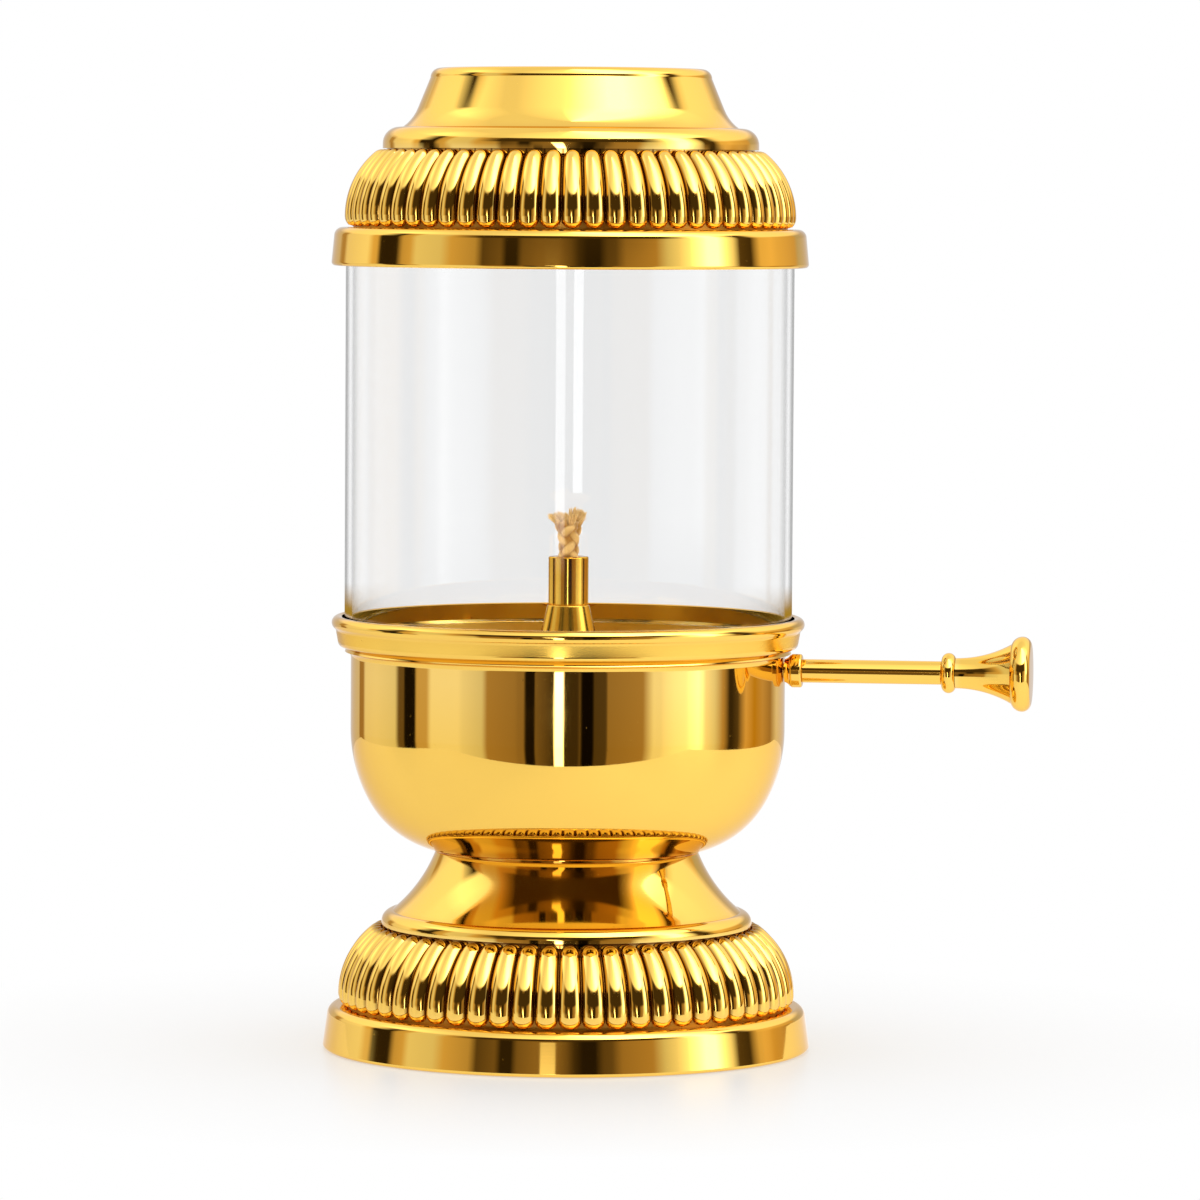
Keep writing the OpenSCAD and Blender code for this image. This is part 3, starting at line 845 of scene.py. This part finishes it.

# %% [markdown]
# ## One brass for each job
# The handle was turned about its own axis, so its brass lays the rings along X. The lobes' brass gets
# painted shade in the valleys and under the lip, and the rings' bodies behind them are painted dark
# all over as shade, since they only show deep in the valleys. The burner stands in oil and heat and is
# deeper in tone. The gallery's band is only softly buffed, and the bowl's inside was never polished, only
# spun, so it is satin.

# %% Metals of the lamp
GLOSS, SOFT, DULL, SATIN, PLATED = 0.035, 0.2, 0.3, 0.38, 0.28
LACQUER = 0.25
CAP_SHADE_TOP = 251.8
ALONG_X = {"turn": (0, math.radians(90), 0), "middle": (0, 0, HANDLE_Z * MM)}
brass_tones = (BRASS, BRASS_PALE, BRASS_DEEP)
deep_tones = ((0.80, 0.44, 0.05, 1), BRASS, BRASS_DEEP)
# Painted shade: the ribbed rings' bodies show only in the valleys between lobes, so they are painted dark
# brown.
painted_shade_tones = ((0.30, 0.13, 0.02, 1), BRASS_DEEP, PAINTED_SHADE_BROWN)
satin_tones = ((1.0, 0.68, 0.05, 1), BRASS_PALE, (0.9, 0.5, 0.03, 1))
steel_tones = ((0.62, 0.62, 0.6, 1), (0.75, 0.75, 0.73, 1), (0.3, 0.27, 0.23, 1))

brass = metal("polished_brass", *brass_tones, GLOSS, lacquer=LACQUER)
foot_lobe_brass = metal("foot_lobe_brass", *brass_tones, GLOSS, lacquer=LACQUER,
                        lobe_count=FOOT_LOBES, lobe_top=FOOT_LIP)
cap_lobe_brass = metal("cap_lobe_brass", *brass_tones, GLOSS, lacquer=LACQUER,
                       lobe_count=CAP_LOBES, lobe_top=CAP_SHADE_TOP)
handle_brass = metal("handle_brass", *brass_tones, GLOSS, lacquer=LACQUER, relief=0.004, **ALONG_X)
burner_brass = metal("burner_brass", *deep_tones, GLOSS)
soft_brass = metal("soft_brass", *brass_tones, SOFT)
painted_shade_brass = metal("painted_shade_brass", *painted_shade_tones, DULL)
satin_brass = metal("satin_brass", *satin_tones, SATIN)
steel = metal("plated_steel", *steel_tones, PLATED, edge=(1, 1, 1, 1))
print("metals:", [m.name for m in bpy.data.materials if m.use_nodes])

# %% [markdown]
# ## Cotton
# Cotton is soft and dull and cream, with painted shade in brown in the gaps between the strands, and its
# fibres roughen it at a tenth of a millimetre. The fray is dry and paler than the braid. A picture of a
# braid could be wrapped round it, but the strands are real here, so the gaps are found by radius: what
# lies nearer to the axis than the strands' crowns is painted a deep shade.

# %% Cotton
COTTON = (0.66, 0.40, 0.12, 1)
COTTON_PALE = (0.97, 0.68, 0.27, 1)
COTTON_DEEP_AND_SHADE = (0.36, 0.16, 0.02, 1)
GAP_FROM, GAP_TO = 0.0028, 0.0023
FRAY_LOW, FRAY_MIDDLE, FRAY_FULL, FRAY_TOP = 0.1450, 0.1465, 0.1475, 0.1485

cotton, tree, shader = new_finish("cotton_braid")
at = add(tree, "TexCoord").outputs["Object"]
fuzz = add(tree, "TexNoise", Scale=5200.0, Detail=3.0, Vector=at).outputs["Fac"]
patch = add(tree, "TexNoise", Scale=420.0, Detail=2.0, Vector=at).outputs["Fac"]
x, y, height = xyz(tree, at)
loose = span(tree, height, BRAID_TOP * MM, STRAND_END * MM)
flare = times(tree, times(tree, loose, loose), BRAID_FLARE * MM)
reach = math_node(tree, "SUBTRACT", from_axis(tree, x, y), flare)
# Painted shade: what lies nearer to the axis than the strands' crowns is darkened, and less so towards
# the fray.
gap_shade = span(tree, reach, GAP_FROM, GAP_TO)
below_fray = span(tree, height, FRAY_TOP, FRAY_MIDDLE, 0.25, 0.9)
in_fray = span(tree, height, FRAY_LOW, FRAY_FULL)
pale = math_node(tree, "MAXIMUM", in_fray, span(tree, patch, 0.35, 0.7, 0.0, 0.35))
tone = mixed(tree, pale, COTTON, COTTON_PALE)
tone = mixed(tree, span(tree, fuzz, 0.55, 0.35, 0.0, 0.2), tone, COTTON_DEEP_AND_SHADE)
tone = mixed(tree, times(tree, gap_shade, below_fray), tone, COTTON_DEEP_AND_SHADE)
bump = add(tree, "Bump", Strength=0.5, Distance=0.00006, Height=fuzz)
set_inputs(
    tree, shader,
    Base_Color=tone,
    Roughness=span(tree, fuzz, 0.3, 0.7, 0.75, 0.95),
    Normal=bump.outputs["Normal"],
    Sheen_Weight=0.25,
    Specular_IOR_Level=0.2,
)
print("finish", cotton.name)

# %% [markdown]
# ## Glass
# The glass is clear with hardly any tone. It was drawn upwards as a tube, so its only marks are faint
# draw lines along its length. Ripples could be modelled, but they are far thinner than a face, so a
# noise that is stretched along Z tilts the surface a little.

# %% Glass
glass, tree, shader = new_finish("clear_glass")
at = add(tree, "TexCoord").outputs["Object"]
stretch = add(tree, "Mapping", Scale=(60, 60, 0.4), Vector=at)
draw_lines = add(tree, "TexNoise", Scale=1.0, Detail=1.0, Vector=stretch.outputs["Vector"])
bump = add(tree, "Bump", Strength=0.02, Distance=0.0001, Height=draw_lines.outputs["Fac"])
set_inputs(
    tree, shader,
    Base_Color=(0.965, 0.968, 0.97, 1),
    Roughness=0.0,
    IOR=1.47,
    Transmission_Weight=1.0,
    Normal=bump.outputs["Normal"],
)
print("finish", glass.name)

# %% [markdown]
# ## Riding on the CAD bodies
# Every new piece stands for the CAD node that it was drawn from, moves with that node's body and gets
# its own finish, and the node is hidden. The hidden hardware keeps its CAD shape and only gets a finish.

# %% Pieces, nodes and bodies
dressed = [
    (turned_foot, "foot_rim", "stand", brass),
    (foot_gadroons, "foot_gadroon_ring", "stand", painted_shade_brass),
    (flared_neck, "pedestal_neck", "stand", brass),
    (spun_bowl, "oil_bowl", "stand", brass),
    (bowl_gallery, "gallery_ring", "stand", brass),
    (handle_seat, "handle_saddle", "saddle", handle_brass),
    (screw_collar, "handle_collar", "handle", handle_brass),
    (handle_bar, "handle_rod", "handle", handle_brass),
    (turned_bead, "handle_bead", "handle", handle_brass),
    (trumpet_knob, "handle_knob", "handle", handle_brass),
    (burner_cup, "burner_cone", "burner", burner_brass),
    (wick_holder, "wick_tube", "burner", burner_brass),
    (clear_chimney, "glass_chimney", "chimney", glass),
    (cap_band, "cap_rim", "cap", brass),
    (cap_gadroons, "cap_gadroon_ring", "cap", painted_shade_brass),
    (vent_neck, "cap_neck", "cap", brass),
    (braided_wick, "wick", "wick", cotton),
    (frayed_top, "wick", "wick", cotton),
]
for piece, node, body, finish in dressed:
    piece.data.materials.clear()
    piece.data.materials.append(finish)
    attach(piece, body)
    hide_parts(node)
for node, finish in {
    "bottom_plate": brass, "tie_rod": steel, "tie_washer": steel, "tie_nut": steel,
    "handle_nut": handle_brass, "burner_foot": brass, "burner_stem": brass,
}.items():
    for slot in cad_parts[node].material_slots:
        slot.material = finish
print(len(dressed), "pieces ride on the CAD bodies")

# %% [markdown]
# ## Two finishes on one piece
# Some pieces are polished on one side only. The bowl and the gallery are satin where they look at the
# middle, the gallery's band is softer than its lip, and on the ribbed rings only the lobes are bright,
# while the body between them carries painted shade.
# The pieces could be cut apart, but a face can simply take another material slot, so the faces are
# chosen by their place and direction.

# %% Second finishes
BOWL_MIDDLE = Vector((0, 0, 100))
BAND_R = 64.2


def second_finish(piece, finish, test):
    """Gives another material to the faces whose middle and direction pass a test."""
    piece.data.materials.append(finish)
    faces = [face for face in piece.data.polygons if test(face.center / MM, face.normal)]
    for face in faces:
        face.material_index = len(piece.data.materials) - 1
    print(piece.name, len(faces), "faces in", finish.name)


def off_body(middle):
    """A test for faces that stand out of a ring's plain body."""
    return lambda at, out: math.hypot(at.xy.length - middle[0], at.z - middle[1]) > BODY_R + 0.03


def faces_middle(at, out):
    """A test for faces that look at the middle of the bowl."""
    return out.dot(at - BOWL_MIDDLE) < 0


def on_band(at, out):
    """A test for faces of the gallery's band."""
    return BAND_LOW < at.z < BAND_TOP + 0.1 and at.xy.length > BAND_R


second_finish(foot_gadroons, foot_lobe_brass, off_body(ring_middle(*FOOT_RING)))
second_finish(cap_gadroons, cap_lobe_brass, off_body(ring_middle(*CAP_RING)))
second_finish(spun_bowl, satin_brass, faces_middle)
second_finish(bowl_gallery, satin_brass, lambda at, out: faces_middle(at, out) and at.xy.length < 60)
second_finish(bowl_gallery, soft_brass, on_band)

# %% [markdown]
# ## The studio in the reflections
# Polished metal shows its surroundings, so the studio is part of the look. The lamp stands on a white
# table in front of a white backdrop, between softboxes with a black flag beside each. The camera side
# is dark apart from one slim strip light, and a large softbox hangs overhead. Cards could be built
# round the lamp, but painting them into the world by direction is simpler. A card is a line of a list:
# the bearings that it reaches from and to, its tint, and its brightness, or two where it fades. The
# camera is at bearing 0, and bearings to its right are positive.

# %% Cards at the height of the bowl
WHITE = (1.0, 1.0, 1.0)
WARM = (1.0, 0.66, 0.30)
AMBER = (1.0, 0.74, 0.40)
ORANGE = (1.0, 0.55, 0.05)

LEFT_CARDS = [
    (-180, -146, WHITE, 0.78),
    (-145, -139, WARM, 0.42),
    (-136, -122, WHITE, 0.95),
    (-115, -104, WHITE, 0.90, 0.83),
    (-101, -97, WARM, 0.15),
    (-96, -88.5, WARM, 0.01),
    (-87, -80, AMBER, 0.62),
    (-77, -60, WHITE, 1.0),
    (-57, -46, WHITE, 0.90, 0.75),
    (-43, -28, WARM, 0.42, 0.35),
    (-26, -23, WARM, 0.30),
    (-22.3, -17.3, WARM, 0.012),
    (-16.9, -9, WARM, 0.20, 0.09),
    (-8, 0, WARM, 0.05),
]
RIGHT_CARDS = [
    (0, 5.4, WARM, 0.05),
    (6.0, 6.6, WARM, 0.13),
    (7.2, 13.2, WARM, 0.005),
    (13.8, 20.2, WARM, 0.085, 0.09),
    (21, 40, WARM, 0.33, 0.41),
    (46, 50, WHITE, 1.0),
    (53, 58, WHITE, 1.15, 1.3),
    (65, 73, WHITE, 1.42, 2.2),
    (78, 84, WHITE, 1.1, 0.85),
    (90, 90.5, WARM, 0.50),
    (95, 97, WARM, 0.04),
    (102, 109, WARM, 0.10, 0.75),
    (117, 117.5, ORANGE, 0.55),
    (126, 136, WARM, 0.60, 0.42),
    (146, 180, WHITE, 0.90, 0.78),
]
print(len(LEFT_CARDS) + len(RIGHT_CARDS), "cards round the bowl")

# %% Cards a little higher up, as the upright bands of foot and cap mirror them
HIGH_LEFT_CARDS = [
    (-180, -150, WHITE, 0.78),
    (-147, -142, AMBER, 0.55),
    (-138, -116, WHITE, 1.0, 1.1),
    (-111, -108, AMBER, 0.85, 0.80),
    (-105, -93, WARM, 0.03),
    (-89, -84, AMBER, 0.62, 0.72),
    (-80, -66, WHITE, 0.88, 0.80),
    (-60, -47, AMBER, 0.70, 0.52),
    (-43, -34, WARM, 0.11, 0.18),
    (-31, -26, WARM, 0.03),
    (-23, -15, WARM, 0.20, 0.28),
    (-5, 0, WARM, 0.28, 0.18),
]
HIGH_RIGHT_CARDS = [
    (0, 4, WARM, 0.18, 0.06),
    (8, 14, WARM, 0.02),
    (18, 22, WARM, 0.12, 0.14),
    (27, 42, WARM, 0.36, 0.48),
    (48, 54, WHITE, 0.75, 1.0),
    (60, 66, WHITE, 1.5, 3.0),
    (70, 76, WHITE, 4.5),
    (81, 86, WHITE, 1.8, 1.0),
    (90, 98, WARM, 0.10, 0.06),
    (105, 114, AMBER, 0.90, 1.0),
    (120, 140, AMBER, 0.90, 0.75),
    (145, 180, WHITE, 0.60, 0.78),
]
print(len(HIGH_LEFT_CARDS) + len(HIGH_RIGHT_CARDS), "cards above them")

# %% [markdown]
# ## Directions
# The world's Generated coordinates are the direction of a ray. Turned by the camera's azimuth and taken
# apart, they give two angles: the bearing round the lamp and the rise above the horizon. A painted sky
# picture would do the same, but a colour ramp over each angle stays sharp and easy to change.

# %% Bearing and rise
VIEW_AZIMUTH = 8.0

world = bpy.data.worlds.new("studio")
bpy.context.scene.world = world
world.use_nodes = True
world.cycles.sampling_method = "NONE"
tree = world.node_tree
ray = add(tree, "TexCoord").outputs["Generated"]
face_camera = add(tree, "Mapping", Rotation=(0, 0, math.radians(-VIEW_AZIMUTH)), Vector=ray)
x, y, z = xyz(tree, face_camera.outputs["Vector"])
bearing = math_node(tree, "ARCTAN2", x, times(tree, y, -1.0))
off_middle = math_node(tree, "ABSOLUTE", bearing)
rise = math_node(tree, "ARCSINE", z)
rays = add(tree, "LightPath").outputs
print("studio faces azimuth", VIEW_AZIMUTH)


# %% Painting cards
def tinted(bright, tint):
    """A tint at a brightness, as a colour with alpha."""
    return (*[bright * c for c in tint], 1)


def degrees_span(tree, angle, low, high, to_low=0.0, to_high=1.0):
    """A Map Range node from angles in degrees."""
    return span(tree, angle, math.radians(low), math.radians(high), to_low, to_high)


def painted(tree, bearing, cards, low, high):
    """A colour ramp over bearings from low to high, with the cards painted on it."""
    ramp = add(tree, "ValToRGB", Fac=degrees_span(tree, bearing, low, high))
    stops = ramp.color_ramp.elements
    stops[0].color = tinted(cards[0][3], cards[0][2])
    stops[-1].color = tinted(cards[-1][-1], cards[-1][2])
    for start, end, tint, *levels in cards:
        stops.new((start - low) / (high - low)).color = tinted(levels[0], tint)
        stops.new((end - low) / (high - low)).color = tinted(levels[-1], tint)
    return ramp.outputs["Color"]


def both_sides(tree, bearing, left, right):
    """The cards to the left and to the right of the camera."""
    on_right = math_node(tree, "GREATER_THAN", bearing, 0.0)
    left_ramp = painted(tree, bearing, left, -180, 0)
    return mixed(tree, on_right, left_ramp, painted(tree, bearing, right, 0, 180))


low_cards = both_sides(tree, bearing, LEFT_CARDS, RIGHT_CARDS)
high_cards = both_sides(tree, bearing, HIGH_LEFT_CARDS, HIGH_RIGHT_CARDS)
sides = mixed(tree, degrees_span(tree, rise, -1, 3), low_cards, high_cards)
print("cards blend upwards from -1 to 3 degrees")

# %% [markdown]
# ## Strip light, dark front and light behind
# The slim bright line down the middle of every piece is a strip light beside the camera. It leans a
# little and grows wider upwards. Above it the camera side stays dark, which gives the lip and the neck
# their contrast, and behind the lamp the backdrop is lit. An area lamp could be the strip, but it would
# light the dull pieces too.

# %% Strip light
STRIP_LEVEL = 5.5
STRIP_AT = (-4.6, -8.5)
STRIP_HALF = (2.4, 3.6)
FRONT_LEVEL, BEHIND_LEVEL = 0.06, 1.3

through_glass = rays["Is Singular Ray"]
strip_at = degrees_span(tree, rise, -1, 4, *map(math.radians, STRIP_AT))
beside = math_node(tree, "ABSOLUTE", math_node(tree, "SUBTRACT", bearing, strip_at))
half = degrees_span(tree, rise, -1, 4, *map(math.radians, STRIP_HALF))
past_edge = math_node(tree, "SUBTRACT", beside, half)
strip = degrees_span(tree, past_edge, -0.4, 0.4, STRIP_LEVEL, 0.0)
strip = times(tree, strip, degrees_span(tree, rise, 2, 9.5, 1.0, 0.0))
dark_rows = times(tree, degrees_span(tree, rise, 9.5, 12), degrees_span(tree, rise, 32, 28))
dark_front = times(tree, dark_rows, degrees_span(tree, off_middle, 60, 45))
dark_front = times(tree, dark_front, math_node(tree, "SUBTRACT", 1.0, through_glass))
sides = mixed(tree, dark_front, sides, tinted(FRONT_LEVEL, WARM))
light_behind = times(tree, degrees_span(tree, rise, 11, 17), degrees_span(tree, off_middle, 95, 110))
sides = mixed(tree, light_behind, sides, tinted(BEHIND_LEVEL, WHITE))
sides = mixed(tree, 1.0, sides, strip, "ADD")
print("strip light at level", STRIP_LEVEL)

# %% [markdown]
# ## Overhead softbox
# The lips, the shoulders and the lobes' tops shine because a large softbox hangs over the lamp. It is
# brightest to the right of the camera. A light that was mirrored twice is held at a lower level, so
# that the grooves between two polished pieces don't fill with white sparks.

# %% Overhead softbox
TWICE_MOST = 2.0
TOP_CARDS = [
    (-180, -125, WHITE, 1.2, 1.4),
    (-110, -100, WHITE, 1.8, 1.7),
    (-62, -50, WHITE, 1.0),
    (-8, -2, WHITE, 1.6, 1.7),
    (34, 48, WHITE, 5.5),
    (75, 80, WHITE, 3.6, 3.2),
    (111, 180, WHITE, 1.4, 1.2),
]
UPPER_CARDS = [
    (-180, -60, WHITE, 1.0),
    (-20, -10, WHITE, 1.35, 1.45),
    (25, 70, WHITE, 4.6),
    (95, 100, WHITE, 1.8, 1.6),
    (125, 180, WHITE, 1.1, 1.0),
]

overhead = painted(tree, bearing, TOP_CARDS, -180, 180)
straight_up = painted(tree, bearing, UPPER_CARDS, -180, 180)
overhead = mixed(tree, degrees_span(tree, rise, 43, 60), overhead, straight_up)
studio = mixed(tree, degrees_span(tree, rise, 31, 35), sides, overhead)
again = math_node(tree, "GREATER_THAN", rays["Glossy Depth"], 1.5)
studio = mixed(tree, again, studio, mixed(tree, 1.0, studio, tinted(TWICE_MOST, WHITE), "DARKEN"))
print(len(TOP_CARDS), "cards overhead")

# %% [markdown]
# ## Who sees the studio
# Only mirrored rays see the cards: the camera, also through the glass, sees plain white, and so does
# everything dull. The glass mirrors a dimmer studio, so that the flame's space stays clear, and shows
# the white backdrop towards its sides, with the two grey lines of each wall. One bright world for all
# rays would be simpler, but the white around the lamp would then be full of cards.

# %% Who sees the studio
GLASS_DIM, GLASS_MOST, BACK_MOST = 0.45, 2.3, 3.4
UNDER_GLASS, TABLE_EDGE = 0.1, 0.4
INSIDE_LIGHT = 2.8
RIM_CARDS = [
    (0, 110, WHITE, 1.0),
    (136, 141, WHITE, 1.0),
    (145, 151, WHITE, 0.58),
    (154, 159, WHITE, 1.0),
    (163, 180, WHITE, 0.52),
]

deep = math_node(tree, "GREATER_THAN", rays["Transmission Depth"], 3.0)
dimmed = mixed(tree, 1.0, studio, tinted(GLASS_DIM, WHITE), "MULTIPLY")
dimmed = mixed(tree, 1.0, dimmed, tinted(GLASS_MOST, WHITE), "DARKEN")
dimmed = mixed(tree, degrees_span(tree, rise, -2.8, -3.3), dimmed, tinted(UNDER_GLASS, WHITE))
rim = painted(tree, off_middle, RIM_CARDS, 0, 180)
dimmed = mixed(tree, degrees_span(tree, off_middle, 70, 110), dimmed, rim)
dimmed = mixed(tree, degrees_span(tree, rise, -3.35, -3.55), dimmed, tinted(TABLE_EDGE, ORANGE))
at_back = mixed(tree, 1.0, studio, tinted(BACK_MOST, WHITE), "DARKEN")
studio = mixed(tree, through_glass, studio, mixed(tree, deep, dimmed, at_back))
mirrored = math_node(tree, "MINIMUM", rays["Glossy Depth"], 1.0)
seen = mixed(tree, mirrored, tinted(1, WHITE), studio)
inside_white = mixed(tree, deep, tinted(1, WHITE), tinted(INSIDE_LIGHT, WHITE))
dull = math_node(tree, "MINIMUM", rays["Diffuse Depth"], 1.0)
set_inputs(tree, tree.nodes["Background"], Color=mixed(tree, dull, seen, inside_white), Strength=1.0)
bpy.context.scene.cycles.glossy_bounces = 6
print("world", world.name)

# %% [markdown]
# ## The table
# The lamp stands on a white glossy table that fades into the white backdrop. A real sweep of paper would
# turn grey where the light falls off, so the plane mixes its own finish with plain white: more and more
# white away from the foot, which keeps the shadow and the mirror image near it. Mirrored rays see the
# table a little brighter on the right, where the softbox stands.

# %% Table top
TABLE_FRONT, TABLE_BACK, TABLE_SIDE = 0.29, 0.7, 0.6
TABLE_DROP = 0.0002

table = primitive("white_table", bpy.ops.mesh.primitive_plane_add, size=2)
bpy.ops.transform.resize(value=(TABLE_SIDE, (TABLE_FRONT + TABLE_BACK) / 2, 1), center_override=(0, 0, 0))
bpy.ops.transform.translate(value=(0, (TABLE_BACK - TABLE_FRONT) / 2, -TABLE_DROP))
bpy.ops.object.mode_set(mode="OBJECT")
table.rotation_euler.z = math.radians(VIEW_AZIMUTH)
print("table", TABLE_FRONT + TABLE_BACK, "m deep")

# %% Table finish
FADE_FROM, FADE_TO, FADE_LEAST = 0.08, 0.22, 0.4
LIT_LEFT, LIT_RIGHT, LIT_SHARE = 1.1, 1.35, 0.6

table_white, tree, shader = new_finish("table_white")
set_inputs(tree, shader, Base_Color=(0.95, 0.95, 0.95, 1), Roughness=0.3, Specular_IOR_Level=0.15)
at = add(tree, "TexCoord").outputs["Object"]
away = add(tree, "VectorMath", operation="LENGTH", Vector=at).outputs["Value"]
across = xyz(tree, at)["X"]
rays = add(tree, "LightPath").outputs
fade = times(tree, span(tree, away, FADE_FROM, FADE_TO, FADE_LEAST, 1.0), rays["Is Camera Ray"])
mirrored = times(tree, math_node(tree, "MINIMUM", rays["Glossy Depth"], 1.0), LIT_SHARE)
lit = add(tree, "Emission", Strength=span(tree, across, -0.1, 0.1, LIT_LEFT, LIT_RIGHT))
plain = add(tree, "Emission", Strength=1.0)
surface = shader.outputs["BSDF"]
for share, other in ((mirrored, lit), (fade, plain)):
    blend = add(tree, "MixShader", Fac=share)
    tree.links.new(surface, blend.inputs[1])
    tree.links.new(other.outputs["Emission"], blend.inputs[2])
    surface = blend.outputs["Shader"]
set_inputs(tree, tree.nodes["Material Output"], Surface=surface)
table.data.materials.append(table_white)
print("finish", table_white.name)

# %% [markdown]
# ## Camera
# The picture was taken with a long lens, a little above the table's edge and a little to the handle's
# side. The camera therefore stands far off. Its aim and its lens follow from the scale of the picture,
# in pixels per millimetre, and from where the lamp's axis and its foot stand in it.

# %% Camera
DISTANCE, EYE_HEIGHT = 1.9, 0.2415
PIXELS, PIXELS_PER_MM = 1200, 3.584
AXIS_PIXEL, FOOT_PIXEL, MIDDLE_PIXEL = 568.3, 1050, 600
SENSOR = 36
ROLL_DEGREES = 0.35

a = math.radians(VIEW_AZIMUTH)
right = Vector((math.cos(a), math.sin(a), 0))
back = Vector((math.sin(a), -math.cos(a), 0))
aim_height = (FOOT_PIXEL - MIDDLE_PIXEL) / PIXELS_PER_MM * MM
aim = right * (MIDDLE_PIXEL - AXIS_PIXEL) / PIXELS_PER_MM * MM + Vector((0, 0, aim_height))
lens = bpy.data.cameras.new("camera")
lens.sensor_width = SENSOR
lens.lens = SENSOR * PIXELS_PER_MM * DISTANCE / MM / PIXELS
lens.clip_end = 50
camera = bpy.data.objects.new("camera", lens)
bpy.context.scene.collection.objects.link(camera)
camera.location = back * DISTANCE + Vector((0, 0, EYE_HEIGHT))
camera.rotation_euler = (aim - camera.location).to_track_quat("-Z", "Y").to_euler()
camera.rotation_euler.rotate_axis("Z", math.radians(ROLL_DEGREES))
bpy.context.scene.camera = camera
bpy.context.scene.view_settings.view_transform = "Standard"
print("lens", round(lens.lens), "mm")
